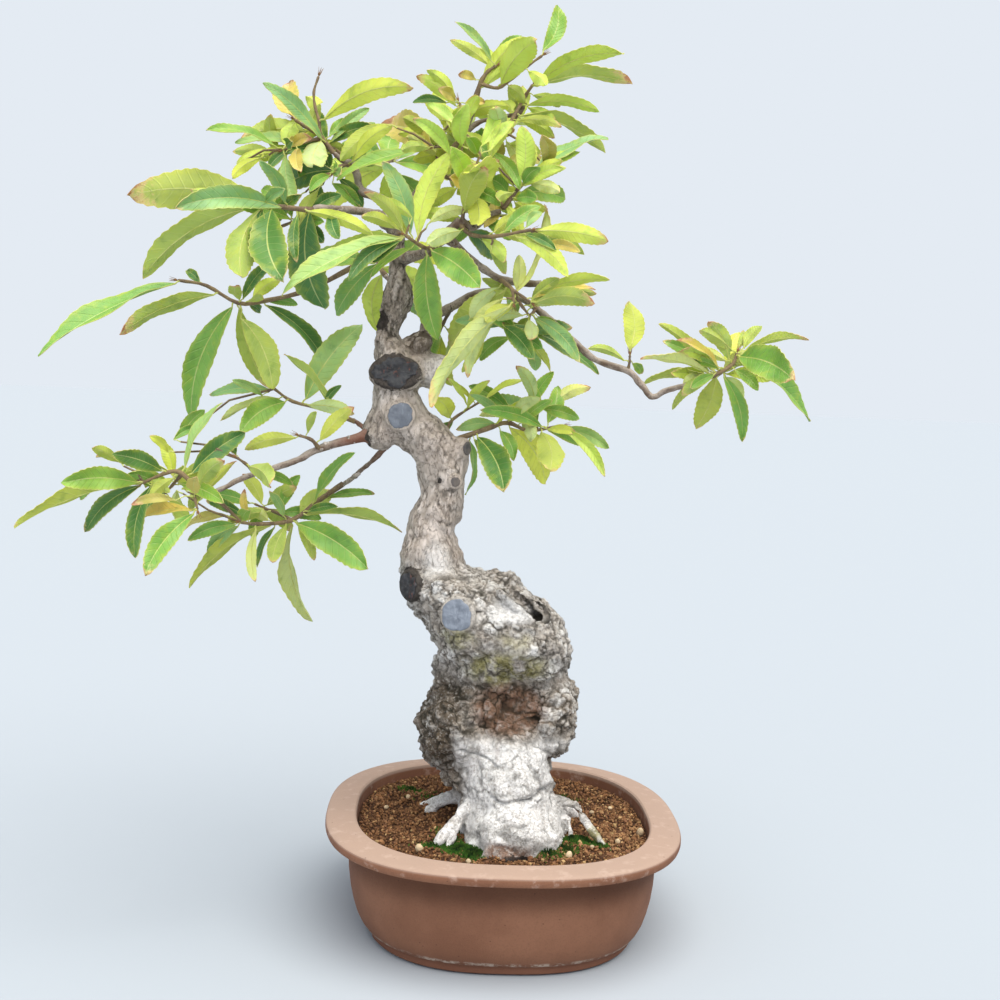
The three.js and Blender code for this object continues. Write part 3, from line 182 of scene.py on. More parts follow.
def share_of(material, *parts):
    """Shares multiplied together. A part (value, low, high) is a soft step from 0 at low to 1 at high."""
    product = None
    for part in parts:
        if isinstance(part, tuple):
            limits = dict(enumerate(part))
            part = add_node(material, "MapRange", limits, interpolation_type="SMOOTHSTEP")
        if product is None:
            product = part
        else:
            product = add_node(material, "Math", {0: product, 1: part}, operation="MULTIPLY")
    return product


def lay_over(material, under, over, *shares):
    """One colour laid over another by some shares. Each colour is a hex string or a socket."""
    links = {0: share_of(material, *shares)}
    for socket, colour in ((6, under), (7, over)):
        links[socket] = linear(colour) if isinstance(colour, str) else colour
    return add_node(material, "Mix", links, 2, data_type="RGBA")


def grain_size(where, size_mm, detail=3.0, roughness=0.55):
    """The inputs of a noise whose patches are about size_mm across."""
    return {"Vector": where, "Scale": 1 / (size_mm * MM), "Detail": detail, "Roughness": roughness}


def patches(material, where, size_mm, low, high, detail=3.0, roughness=0.55):
    """A share that comes and goes in soft patches."""
    cloud = add_node(material, "TexNoise", grain_size(where, size_mm, detail, roughness))
    return share_of(material, (cloud, low, high))


def close_finish(material, shader, colour, relief=None, depth_mm=0.0):
    """Gives the shader its colour, and its fine relief where it has one."""
    material.node_tree.links.new(colour, shader.inputs["Base Color"])
    if relief is not None:
        bump = add_node(material, "Bump", {"Height": relief, "Distance": depth_mm * MM, "Strength": 1.0})
        material.node_tree.links.new(bump, shader.inputs["Normal"])
    return material


def finish_piece(piece, material, slot, *nodes):
    if material:
        piece.data.materials.clear()
        piece.data.materials.append(material)
    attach(piece, "root")
    if nodes:
        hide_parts(*nodes)


# Unglazed stoneware clay, slab-built and fired in oxidation: dull, slightly gritty, with cloudy
# lighter and redder patches, sparse dark iron specks and a pale lime line above the foot.
def make_clay():
    material, shader = new_material("unglazed_fired_clay", roughness=0.82, specular=0.28)
    where = add_node(material, "TexCoord", output="Object")
    height = add_node(material, "SeparateXYZ", {0: where}, "Z")
    grit = add_node(material, "TexNoise", grain_size(where, 1.6, 2, 0.7))
    smear = add_node(material, "TexNoise", grain_size(where, 14, 4, 0.65))
    colour = lay_over(material, "#7a523d", "#8a6049", patches(material, where, 75, 0.35, 0.68, 4))
    colour = lay_over(material, colour, "#674636", (grit, 0.45, 0.75), 0.35)
    # The rubbed lip is paler, and dust lies on it and just below it.
    colour = lay_over(material, colour, "#b8a191", (height, 0.1040, 0.1072), 0.72)
    colour = lay_over(material, colour, "#c3aa9b", (smear, 0.52, 0.70), (height, 0.088, 0.104), 0.42)
    # Under the lip the wall is darkened as painted shade, where the lip shades it.
    colour = lay_over(material, colour, "#4a2a1a", (height, 0.058, 0.084), (height, 0.0935, 0.0905), 0.6)
    colour = lay_over(material, colour, "#6f4636", (height, 0.0135, 0.0075), 0.45)
    # The lime line above the foot is broken.
    broken = patches(material, where, 9, 0.44, 0.62, 5, 0.7)
    line = share_of(material, (height, 0.0080, 0.0098), (height, 0.0150, 0.0115))
    colour = lay_over(material, colour, "#c7b6a6", line, broken, 0.8)
    speck = add_node(material, "TexVoronoi", {"Vector": where, "Scale": 1 / (11 * MM)}, "Distance")
    colour = lay_over(material, colour, "#4a3128", (speck, 0.085, 0.05), 0.6)
    relief = add_node(material, "Math", {0: smear, 1: 1.2, 2: grit}, operation="MULTIPLY_ADD")
    return close_finish(material, shader, colour, relief, 0.35)


clay = make_clay()
pot = raise_skin("training_pot", [oval_ring(half, height, POT_SIDES) for half, height in POT_PROFILE])
cutters = []
for side in (-1, 1):
    deselect()
    bpy.ops.mesh.primitive_cylinder_add(
        vertices=40, radius=DRAIN_RADIUS * MM, depth=0.05, location=(0, side * DRAIN_SPACING * MM, 0)
    )
    cutters.append(bpy.context.object)
    deselect()
    bpy.ops.mesh.primitive_cube_add(size=1, location=(0, side * DRAIN_SPACING * MM, 0))
    groove = bpy.context.object
    groove.scale = (POT_HALF_WIDTH * 2 * MM, GROOVE_WIDTH * MM, GROOVE_DEPTH * 2 * MM)
    cutters.append(groove)
cut_away(pot, cutters)
shade(pot, 34)
finish_piece(pot, clay, "unglazed_clay", "pot")


# The drain meshes
# Squares of black plastic mesh that lie on the pot's floor over the drain holes and keep the grit in.
# They stay as they were built and take the dull, slightly mottled finish of moulded polythene.

mesh_plastic, mesh_shader = new_material("black_polythene_mesh", roughness=0.55)
mesh_where = add_node(mesh_plastic, "TexCoord", output="Object")
mesh_mottle = patches(mesh_plastic, mesh_where, 6, 0.3, 0.7)
close_finish(mesh_plastic, mesh_shader, lay_over(mesh_plastic, "#26282a", "#3a3c3e", mesh_mottle))
for name in ("drain_mesh_front", "drain_mesh_back"):
    drain_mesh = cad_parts[name]
    drain_mesh.data.materials.clear()
    drain_mesh.data.materials.append(mesh_plastic)


# The soil
# Hard-baked akadama clay grit, sieved to about 3 mm, that fills the pot to just below its lip and
# rises a little towards the trunk. The body is one skin, and the loose top layer is laid on it grain by
# grain.

SOIL_EDGE_HALF = 147.8
SOIL_TOP = 97.0
SOIL_CROWN = 5.0
SOIL_SIDES = 120
GRAIN_COUNT = 7800
GRAIN_PITCH = 2.5
# Half width and height of the soil against the pot's wall.
SOIL_WALL = [(130.4, 14.2), (144.4, 60.0), (147.2, 92.0)]


def soil_share(x, y):
    """How far out a place lies: 0 in the middle of the pot and 1 at the inside of its wall."""
    half_depth = SOIL_EDGE_HALF + POT_HALF_DEPTH - POT_HALF_WIDTH
    powers = (np.abs(x) / SOIL_EDGE_HALF) ** OVAL_POWER + (np.abs(y) / half_depth) ** OVAL_POWER
    return powers ** (1 / OVAL_POWER)


def soil_height(x, y):
    share = np.minimum(soil_share(x, y), 1)
    swell = 1.6 * np.sin(x / 9 + y / 13) + 1.2 * np.sin(x / 6 - y / 8)
    return SOIL_TOP + SOIL_CROWN * (1 - share) + swell * np.minimum(1, (1 - share) * 6)


def make_soil_rings():
    rings = [oval_ring(half, height, SOIL_SIDES) for half, height in SOIL_WALL]
    for share in np.linspace(0.995, 0.06, 30):
        ring = oval_ring(SOIL_EDGE_HALF, SOIL_TOP, SOIL_SIDES)
        ring[:, :2] *= share
        ring[:, 2] = soil_height(ring[:, 0], ring[:, 1]) - 1.0
        rings.append(ring)
    return rings


# Akadama: soft fired-clay lumps, dull and dusty, from deep brown where damp to tan where dry.
def make_grit(name, tinted):
    material, shader = new_material(name, roughness=0.95, specular=0.15)
    where = add_node(material, "TexCoord", output="Object")
    dust = add_node(material, "TexNoise", grain_size(where, 1.1, 3, 0.7))
    if tinted:
        own = add_node(material, "Attribute", output="Color", attribute_name="grain_colour")
        colour = lay_over(material, own, "#a98562", (dust, 0.4, 0.7), 0.3)
    else:
        colour = lay_over(material, "#3c281c", "#5c402d", patches(material, where, 22, 0.38, 0.66))
    return close_finish(material, shader, colour, dust, 0.5)


def scatter_copies(name, master, places, sizes, turns, colours, attribute):
    """One mesh of many copies of a small master mesh, each with its own place, sizes, turn and colour."""
    shape = np.array([vert.co for vert in master.data.vertices])
    faces = [tuple(face.vertices) for face in master.data.polygons]
    points = np.einsum("nij,nvj->nvi", turns, shape[None] * sizes[:, None, :]) + places[:, None, :]
    count = len(shape)
    all_faces = []
    for copy in range(len(places)):
        all_faces += [tuple(corner + count * copy for corner in face) for face in faces]
    mesh = bpy.data.meshes.new(name)
    mesh.from_pydata((points.reshape(-1, 3) * MM).tolist(), [], all_faces)
    tint = mesh.attributes.new(attribute, "FLOAT_COLOR", "POINT")
    tint.data.foreach_set("color", np.repeat(colours, count, axis=0).astype(np.float32).ravel())
    bpy.data.objects.remove(master)
    piece = bpy.data.objects.new(name, mesh)
    bpy.context.collection.objects.link(piece)
    return piece


def random_turns(draws, count, tilt):
    """Rotation matrices with any heading, and tipped from upright by up to tilt."""
    heading = draws.uniform(0, 2 * math.pi, count)
    tip = draws.uniform(0, tilt, count)
    side = draws.uniform(0, 2 * math.pi, count)
    turns = []
    for a, b, c in zip(heading, tip, side):
        axis = Vector((math.cos(c), math.sin(c), 0))
        turns.append(np.array(Quaternion(axis, b).to_matrix() @ Matrix.Rotation(a, 3, "Z")))
    return np.array(turns)


soil = raise_skin("soil_body", make_soil_rings())
shade(soil, 60)
finish_piece(soil, make_grit("damp_akadama_body", tinted=False), "akadama_soil", "soil")

# The trunk fills the middle, so no grain is laid where it stands.
TRUNK_FOOT = ((2.0, -20.0, 46.0, 96.0), (4.0, -2.0, 44.0, 52.0))


def clear_of_trunk(x, y):
    clear = np.ones(len(x), bool)
    for middle_x, middle_y, half_x, half_y in TRUNK_FOOT:
        clear &= ((x - middle_x) / half_x) ** 2 + ((y - middle_y) / half_y) ** 2 > 1
    return clear


def step_up(value, low, high):
    return np.clip((value - low) / (high - low), 0, 1)


# Shades of the grit, with how often each lies where the soil is damp and where it is dry.
GRAIN_SHADES = {
    "#6b4a30": (0.22, 0.15), "#7d5637": (0.22, 0.19), "#8c6646": (0.12, 0.21), "#553924": (0.18, 0.08),
    "#a07c55": (0.05, 0.16), "#74503a": (0.15, 0.11), "#b9996b": (0.02, 0.09), "#46311f": (0.04, 0.01),
}


def lay_grains():
    draws = np.random.default_rng(7)
    reach = SOIL_EDGE_HALF + POT_HALF_DEPTH - POT_HALF_WIDTH
    across = np.arange(-SOIL_EDGE_HALF, SOIL_EDGE_HALF, GRAIN_PITCH)
    x, y = np.meshgrid(across, np.arange(-reach, reach, GRAIN_PITCH))
    x = x.ravel() + draws.uniform(-1.5, 1.5, x.size)
    y = y.ravel() + draws.uniform(-1.5, 1.5, y.size)
    kept = (soil_share(x, y) < 0.985) & clear_of_trunk(x, y)
    x, y = x[kept], y[kept]
    order = draws.permutation(len(x))[:GRAIN_COUNT]
    x, y = x[order], y[order]
    dry = step_up(x, -20, 110) * step_up(-y, -80, 60)
    size = draws.uniform(0.8, 1.9, len(x)) * np.where(draws.random(len(x)) < 0.05 + 0.10 * dry, 1.6, 1)
    sizes = size[:, None] * draws.uniform(0.6, 1.25, (len(x), 3))
    places = np.stack([x, y, soil_height(x, y) + size * 0.15], axis=1)
    palette = np.array([linear(colour) for colour in GRAIN_SHADES])
    damp_weights, dry_weights = zip(*GRAIN_SHADES.values())
    in_dry = draws.random(len(x)) < dry
    dry_pick = draws.choice(len(palette), len(x), p=dry_weights)
    pick = np.where(in_dry, dry_pick, draws.choice(len(palette), len(x), p=damp_weights))
    colours = palette[pick]
    colours[:, :3] *= draws.uniform(0.75, 1.25, (len(x), 1))
    deselect()
    bpy.ops.mesh.primitive_ico_sphere_add(subdivisions=1, radius=1)
    master = bpy.context.object
    for vert in master.data.vertices:
        vert.co *= draws.uniform(0.72, 1.2)
    turns = random_turns(draws, len(x), 1.5)
    return scatter_copies("soil_grains", master, places, sizes, turns, colours, "grain_colour")


grains = lay_grains()
finish_piece(grains, make_grit("dry_akadama_grains", tinted=True), "akadama_soil")

# A few larger pale pebbles lie among the grit, mostly in front: x, y, half size.
PEBBLES = [
    (-84, -114, 4.6), (139, -40, 5.2), (60, -115, 4.4), (-37, -136, 3.2), (96, 22, 3.0), (-120, 20, 2.6),
    (112, -74, 2.8), (-98, 60, 3.0), (118, 44, 2.6), (34, 150, 3.4), (-60, 132, 3.0), (84, -98, 2.6),
]


def lay_pebbles():
    draws = np.random.default_rng(11)
    x, y, half = np.array(PEBBLES, float).T
    places = np.stack([x, y, soil_height(x, y) + half * 0.5], axis=1)
    sizes = half[:, None] * draws.uniform(0.7, 1.1, (len(PEBBLES), 3))
    colours = np.array([linear("#d9c3a0")] * len(PEBBLES))
    colours[:, :3] *= draws.uniform(0.7, 1.05, (len(PEBBLES), 1))
    deselect()
    bpy.ops.mesh.primitive_ico_sphere_add(subdivisions=2, radius=1)
    master = bpy.context.object
    turns = random_turns(draws, len(PEBBLES), 0.5)
    return scatter_copies("soil_pebbles", master, places, sizes, turns, colours, "grain_colour")


pebbles = lay_pebbles()
shade(pebbles, 50)
finish_piece(pebbles, make_grit("pale_pumice_pebbles", tinted=True), "akadama_soil")


# The moss
# Short tufts of moss that grow where the soil stays damp, in the shade of the roots and at their feet.
# Each shoot is a slim cone of leaves, bright at the edges of a patch and dark in its middle. The dark
# middles are partly the moss's own colour and partly painted shade under the roots.

MOSS_SHOOTS = 4800
MOSS_BRIGHT = np.array(linear("#3a6420"))
MOSS_DARK_AND_SHADE = np.array(linear("#0a1e09"))
# Each patch: x, y, spread, share of the shoots.
MOSS_PATCHES = [
    (-58, -90, 8, 0.16), (-46, -104, 7, 0.17), (-32, -118, 8, 0.12), (-70, -100, 7, 0.06),
    (40, -116, 8, 0.05), (78, -70, 6, 0.09), (92, -84, 5, 0.06), (66, -76, 6, 0.08), (60, -96, 8, 0.03),
    (-95, 97, 7, 0.04), (-52, -60, 9, 0.05), (-62, 64, 12, 0.05), (60, 60, 14, 0.05), (10, 100, 12, 0.05),
]


def grow_moss():
    draws = np.random.default_rng(23)
    x, y, core = [], [], []
    for middle_x, middle_y, spread, share in MOSS_PATCHES:
        count = int(MOSS_SHOOTS * share)
        x.append(draws.normal(middle_x, spread, count))
        y.append(draws.normal(middle_y, spread * 0.75, count))
        core.append(np.exp(-(((x[-1] - middle_x) ** 2 + (y[-1] - middle_y) ** 2) / spread ** 2)))
    x, y, core = np.concatenate(x), np.concatenate(y), np.concatenate(core)
    kept = (soil_share(x, y) < 0.97) & clear_of_trunk(x, y)
    x, y, core = x[kept], y[kept], core[kept]
    height = draws.uniform(0.9, 2.0, len(x)) * (0.7 + 0.9 * core)
    width = draws.uniform(0.5, 1.0, len(x))
    sizes = np.stack([width, width, height], axis=1)
    places = np.stack([x, y, soil_height(x, y) + 0.9 + height * 0.5], axis=1)
    # Near a patch's middle the shoots darken: the moss's own darker colour, and painted shade under the
    # roots.
    share = np.clip(core * 0.9 + 0.3 + draws.uniform(-0.4, 0.25, len(x)), 0, 1)[:, None]
    colours = MOSS_BRIGHT * (1 - share) + MOSS_DARK_AND_SHADE * share
    deselect()
    bpy.ops.mesh.primitive_cone_add(vertices=4, radius1=1, radius2=0.15, depth=2)
    master = bpy.context.object
    turns = random_turns(draws, len(x), 0.55)
    return scatter_copies("moss_tufts", master, places, sizes, turns, colours, "shoot_colour")


# Cushion moss: soft and matt, with light coming through the outer leaves.
moss_green, moss_shader = new_material("cushion_moss", roughness=0.9, specular=0.2)
moss_where = add_node(moss_green, "TexCoord", output="Object")
moss_own = add_node(moss_green, "Attribute", output="Color", attribute_name="shoot_colour")
moss_tips = patches(moss_green, moss_where, 5, 0.4, 0.7)
close_finish(moss_green, moss_shader, lay_over(moss_green, moss_own, "#68872f", moss_tips, 0.28))
moss = grow_moss()
finish_piece(moss, moss_green, "akadama_soil")


# The trunk
# A collected oak, grown on for decades: a swollen root base that comes forward in a pale tongue, two
# knuckled burls above it, and a stem that was cut back again and again. The masses are raised from
# sections seen from the front, grown together by a voxel remesh, and then the bark is broken into plates.

# Height, left, right, front and back.
TRUNK_SECTIONS = [
    (76, -44, 54, -60, 56), (132, -46, 44, -60, 58), (146, -66, 42, -60, 62), (165, -79, 46, -62, 66),
    (182, -87, 56, -64, 70), (200, -87, 67, -64, 72), (218, -83, 71, -58, 70), (238, -78, 69, -54, 66),
    (256, -76, 60, -56, 62), (272, -71, 57, -64, 62), (288, -79, 58, -70, 62), (304, -90, 56, -72, 60),
    (318, -98, 46, -70, 56), (332, -106, 25, -64, 52), (346, -112, 4, -56, 48), (356, -114, -30, -42, 38),
    (362, -113, -48, -30, 28),
]
STEM_SECTIONS = [
    (340, -108, -46, -34, 32), (365, -115, -47, -35, 35), (394, -108, -60, -29, 29),
    (412, -105, -52, -27, 28), (440, -96, -51, -26, 27), (462, -101, -50, -27, 28), (480, -120, -50, -28, 28),
    (503, -152, -71, -28, 27), (522, -147, -95, -26, 25), (550, -145, -103, -24, 22),
    (574, -146, -108, -22, 20), (592, -147, -123, -13, 14), (612, -142, -116, -13, 13),
    (634, -139, -109, -14, 14), (660, -135, -119, -10, 10), (694, -138, -121, -9, 10),
    (716, -144, -127, -7, 8),
]
TONGUE_SECTIONS = [
    (78, -36, 48, -112, 30), (86, -42, 57, -124, 30), (98, -45, 60, -128, 30), (116, -44, 58, -127, 30),
    (137, -39, 48, -110, 30), (152, -40, 46, -108, 25), (172, -37, 42, -98, 20), (192, -30, 38, -86, 10),
    (206, -18, 30, -72, 0),
]

# Rounded lumps: middle, half sizes, lean in the picture's plane, relief.
BURLS = [
    ((8, -24, 296), (61, 54, 41), -0.7, 4), ((-14, -14, 346), (22, 28, 13), 0.1, 3),
    ((-40, -34, 300), (34, 38, 36), 0.6, 3.5), ((-48, -22, 200), (38, 50, 40), 0.2, 5),
    ((46, -20, 214), (26, 46, 46), -0.1, 5), ((10, 34, 215), (58, 42, 52), 0, 5),
    ((-138, -2, 494), (20, 22, 17), 0.2, 1.5), ((-64, 2, 478), (13, 20, 20), 0.3, 2),
    ((-98, -4, 584), (12, 11, 9), 0.6, 2), ((-128, 0, 572), (19, 17, 15), 0, 2),
    ((-138, 0, 706), (11, 12, 11), 0, 1), ((-4, -123, 99), (21, 12, 9), 0.1, 2.5),
]
HOLLOWS = [((2, -84, 228), (30, 34, 22), 0.1, 0), ((8, -52, 335), (29, 17, 4.5), -0.68, 0)]
RIDGE = ((6, -56, 325), (33, 14, 8), -0.85, 0)

# Roots from the base into the soil: x, y, z, radius.
ROOTS = [
    [(-34, -66, 130, 9), (-48, -79, 122, 5.2), (-62, -92, 108, 4), (-74, -106, 90, 3)],
    [(-40, -72, 124, 5), (-50, -86, 112, 3.2), (-56, -96, 98, 2.4), (-58, -104, 88, 2)],
    [(42, -50, 134, 10), (60, -53, 134, 5.6), (72, -58, 129, 4.6), (82, -68, 115, 4), (104, -86, 92, 3)],
    [(48, -52, 128, 8), (60, -60, 118, 4), (66, -70, 104, 3), (70, -78, 90, 2.4)],
    [(40, -20, 128, 11), (60, -6, 117, 6.5), (88, 14, 90, 4)],
    [(-36, 10, 124, 12), (-58, 26, 109, 6), (-92, 50, 92, 3.6)],
    [(-44, 14, 118, 6), (-64, 18, 106, 4), (-84, 24, 92, 2.8)],
    [(14, 36, 122, 16), (24, 66, 108, 10), (42, 108, 88, 5)],
    [(-20, 40, 122, 14), (-30, 66, 106, 9), (-36, 84, 90, 6)],
]

# Limbs as seen in the trunk's plane: x, z, depth, radius.
LIMBS = {
    "lower_left": [
        (-145, 491, -4, 12), (-157, 488, -8, 8), (-175, 483, -14, 6.2), (-200, 474, -24, 5),
        (-221, 462, -34, 4.4), (-247, 452, -42, 4), (-273, 443, -50, 3.6), (-295, 431, -58, 3.4),
        (-311, 424, -64, 3.2),
    ],
    "lower_inner": [(-130, 482, 12, 4.5), (-142, 468, 24, 3.4), (-163, 448, 36, 3), (-176, 438, 44, 2.8)],
    "left_thin": [(-147, 491, 4, 4.5), (-157, 499, 13, 3.2), (-166, 505, 20, 2.8)],
    "upper_left": [
        (-136, 708, -2, 8), (-135, 719, -5, 7.5), (-148, 727, -8, 6.2), (-165, 733, -10, 5.6),
        (-170, 748, -5, 5), (-175, 758, 0, 5.2), (-185, 762, 3, 3.6), (-195, 770, 5, 3.2),
    ],
    "left_shoulder": [
        (-140, 706, -4, 8), (-148, 710, -12, 6.5), (-167, 713, -26, 5.4), (-203, 714, -40, 4.6),
        (-212, 712, -43, 5),
    ],
    "front_fork": [
        (-128, 668, 0, 9), (-110, 671, -12, 7.4), (-92, 679, -30, 6.6), (-76, 698, -35, 6),
        (-65, 708, -36, 6),
    ],
    "right_shoulder": [
        (-79, 692, -34, 6), (-65, 680, -30, 5.2), (-49, 667, -28, 5), (-26, 653, -28, 4.8),
        (-4, 649, -30, 4.6), (18, 649, -30, 4.4),
    ],
    "long_right": [
        (-117, 575, 4, 12), (-98, 593, 9, 8.5), (-94, 608, 10, 7), (-71, 622, 10, 6.2), (-47, 636, 8, 5.8),
        (-20, 639, 6, 5.2), (2, 632, 0, 4.8), (25, 616, -14, 4.8), (53, 593, -24, 4.6), (77, 575, -33, 4.4),
        (110, 565, -42, 4.2), (125, 550, -46, 4.2), (136, 540, -50, 4.2), (150, 547, -52, 3.8),
        (174, 554, -56, 3.6), (184, 557, -58, 3.4),
    ],
    "crown": [
        (-132, 708, 3, 6.5), (-126, 714, 5, 5.6), (-112, 731, 10, 5), (-88, 762, 12, 4.4),
        (-67, 792, 15, 3.8), (-57, 817, 18, 3.4), (-55, 830, 18, 3),
    ],
    "crown_right": [
        (-67, 792, 15, 3.6), (-50, 806, 24, 3), (-30, 811, 34, 2.9), (-11, 816, 44, 2.8), (-7, 826, 48, 2.8),
    ],
    "inner_right": [(-65, 708, -35, 5), (-53, 701, -35, 4), (-36, 715, -32, 3.4), (-26, 719, -30, 3.2)],
    "crown_back": [(-126, 712, 4, 7), (-118, 728, 30, 5), (-124, 738, 62, 4), (-132, 748, 90, 3.2)],
    "stem_back": [(-128, 622, 4, 8), (-122, 634, 34, 5), (-128, 640, 66, 4), (-138, 650, 92, 3.2)],
}

# Pruned ends: centre, the way the cut face looks, its radius, the depth of the stub, width over height.
CUTS = {
    "lower_front": ((-55, -71, 321), (-0.3, -0.95, 0.1), 15, 16, 1),
    "left_edge": ((-104, -33, 343), (-0.76, -0.65, 0), 12.5, 14, 1),
    "stem_foot": ((-125, -27, 555), (-0.1, -0.97, 0.2), 14, 15, 1.5),
    "stem_mid": ((-118, -30, 512), (0, -1, 0.1), 12, 12, 1),
    "right_edge": ((-51, -13, 481), (0.85, -0.5, 0), 7, 14, 1),
    "small_front": ((-61, -28, 448), (0.2, -0.98, 0), 4.5, 8, 1),
    "pruned_end": ((-76, -2, 554), (0.95, -0.2, -0.22), 15, 34, 1),
}
STUB_SIDES = 48
STUB_RIM = 2.0
STUB_FLARE = 3.0
# Beyond its first bend a limb's bare wood is slimmer than the knotted outline that is seen.
LIMB_SLIMNESS = 0.74
# Where the places of the limbs and leaves are seen from.
EYE = np.array((-81.0, -1498.0, 553.0))
MASS_VOXEL = 2.5
TRUNK_VOXEL = 1.5


def on_sight(x, z, depth):
    """The place at a depth that covers (x, z) of the plane through the trunk, seen from the front."""
    share = (depth - EYE[1]) / -EYE[1]
    return (np.array((x, 0.0, z)) - EYE) * share + EYE


def smooth_rows(rows, steps):
    """Rows of numbers with a smooth curve through them, cut into steps between each two rows."""
    rows = np.array(rows, float)
    rows = np.vstack([2 * rows[0] - rows[1], rows, 2 * rows[-1] - rows[-2]])
    smooth = []
    for i in range(1, len(rows) - 2):
        before, here, there, after = rows[i - 1:i + 3]
        for t in np.arange(steps) / steps:
            bend = (2 * before - 5 * here + 4 * there - after) * t * t
            twist = (3 * here - before - 3 * there + after) * t ** 3
            smooth.append(0.5 * (2 * here + (there - before) * t + bend + twist))
    smooth.append(rows[-2])
    return np.array(smooth)


def bark_swell(points, size):
    """The knuckled swell of the bark: low on slim parts and high over the burls."""
    x, y, z = points[..., 0], points[..., 1], points[..., 2]
    coarse = np.sin(x / 7 + 1.7 * np.sin(z / 13)) * np.sin(z / 8.5 + y / 9)
    fine = np.sin(x / 3.1 + z / 4.7) * np.sin(y / 3.7 - z / 5.3)
    return size * (0.7 * coarse + 0.4 * fine)


def raise_mass(name, sections, sides, relief):
    rings = []
    turn = np.arange(sides) / sides * 2 * math.pi
    outward = np.stack([np.cos(turn), np.sin(turn), np.zeros(sides)], axis=1)
    for z, left, right, front, back in smooth_rows(sections, 4):
        middle = np.array(((left + right) / 2, (front + back) / 2, z))
        half = np.array(((right - left) / 2, (back - front) / 2, 0))
        ring = middle + outward * half
        swell = bark_swell(ring, relief * min((right - left) / 150, 1))
        rings.append(ring + outward * swell[:, None])
    return raise_skin(name, rings)


def mesh_points(piece):
    points = np.empty(len(piece.data.vertices) * 3)
    piece.data.vertices.foreach_get("co", points)
    return points.reshape(-1, 3) / MM


def place_points(piece, points):
    piece.data.vertices.foreach_set("co", (points * MM).astype(np.float32).ravel())
    piece.data.update()


def make_lump(name, middle, half, lean, relief):
    deselect()
    bpy.ops.mesh.primitive_uv_sphere_add(segments=48, ring_count=32, radius=MM)
    piece = bpy.context.object
    piece.name = piece.data.name = name
    outward = mesh_points(piece)
    points = outward * half
    points += outward * bark_swell(points + middle, relief)[:, None]
    turned = points @ np.array(Matrix.Rotation(-lean, 3, "Y")).T
    place_points(piece, turned + middle)
    return piece


def path_rings(points, radii, sides):
    """Rings square to a path, each turned as little as it can be from the one before."""
    rings = []
    across = np.array((0.0, 1.0, 0.0))
    turn = np.arange(sides) / sides * 2 * math.pi
    for i, point in enumerate(points):
        along = points[min(i + 1, len(points) - 1)] - points[max(i - 1, 0)]
        along = along / np.linalg.norm(along)
        across = across - along * across.dot(along)
        across = across / np.linalg.norm(across)
        other = np.cross(along, across)
        rings.append(point + radii[i] * (np.cos(turn)[:, None] * across + np.sin(turn)[:, None] * other))
    return rings


def limb_skin(name, rows, steps, sides):
    foot, *bends = rows
    slim = [foot] + [(x, z, depth, radius * LIMB_SLIMNESS) for x, z, depth, radius in bends]
    slim = smooth_rows(slim, steps)
    return raise_skin(name, path_rings([on_sight(*row[:3]) for row in slim], slim[:, 3], sides))


def face_turn(face):
    """The turn that brings Z to the way a cut looks, and keeps X level."""
    out = np.array(face) / np.linalg.norm(face)
    level = np.cross(out, (0.0, 0.0, 1.0))
    level = level / np.linalg.norm(level)
    return np.stack([level, np.cross(out, level), out], axis=1)


def cut_stub(name, middle, face, radius, depth, wide):
    turn = np.arange(STUB_SIDES) / STUB_SIDES * 2 * math.pi
    disc = np.stack([np.cos(turn), np.sin(turn), np.zeros(STUB_SIDES)], axis=1)
    rim = radius + STUB_RIM
    # Half width and height above the cut, with the callus that has begun to roll over the rim.
    profile = [
        (rim + STUB_FLARE, -depth), (rim + 1.6, -4.5), (rim + 1.4, -1.2), (rim + 0.4, 0.5),
        (rim - 1.4, 0.4), (radius - 1, 0),
    ]
    rings = []
    for half, height in profile:
        ring = (disc * half + (0, 0, height)) * (wide, 1, 1)
        rings.append(ring @ face_turn(face).T + middle)
    return raise_skin(name, rings)


def remesh(piece, voxel_mm):
    grow = piece.modifiers.new("grow_together", "REMESH")
    grow.mode = "VOXEL"
    grow.voxel_size = voxel_mm * MM
    grow.use_smooth_shade = True
    apply_modifiers(piece)


masses = [
    raise_mass("trunk_bark", TRUNK_SECTIONS, 80, 5),
    raise_mass("stem_mass", STEM_SECTIONS, 56, 3),
    raise_mass("tongue_mass", TONGUE_SECTIONS, 72, 2.5),
]
masses += [make_lump("burl", *burl) for burl in BURLS]
trunk = join_pieces(masses, "trunk_bark")
remesh(trunk, MASS_VOXEL)
cut_away(trunk, [make_lump("hollow", *hollow) for hollow in HOLLOWS])
parts = [trunk, make_lump("ridge", *RIDGE)]
for root in ROOTS:
    path = smooth_rows(root, 5)
    parts.append(raise_skin("root", path_rings(list(path[:, :3]), path[:, 3], 20)))
for name, rows in LIMBS.items():
    parts.append(limb_skin(name + "_foot", rows[:4], 6, 20))
parts += [cut_stub(name, *cut) for name, cut in CUTS.items()]
trunk = join_pieces(parts, "trunk_bark")
remesh(trunk, TRUNK_VOXEL)
even = trunk.modifiers.new("even", "SMOOTH")
even.factor = 0.5
even.iterations = 3
apply_modifiers(trunk)


def step_between(value, low, high):
    """0 at low and 1 at high, with a soft step between. With low above high it falls instead."""
    share = np.clip((value - low) / (high - low), 0, 1)
    return share * share * (3 - 2 * share)


def away_from_cuts(points):
    """0 on a sealed cut and its callus, and 1 a little way outside."""
    away = np.ones(len(points))
    for middle, face, radius, _, wide in CUTS.values():
        local = (points - middle) @ face_turn(face) / (wide, 1, 1)
        away = np.minimum(away, step_between(np.linalg.norm(local, axis=1), radius + 2, radius + 7))
    return away


# The noise vectors below come from a random state, which starts from the clock unless it is seeded.
noise.seed_set(7)


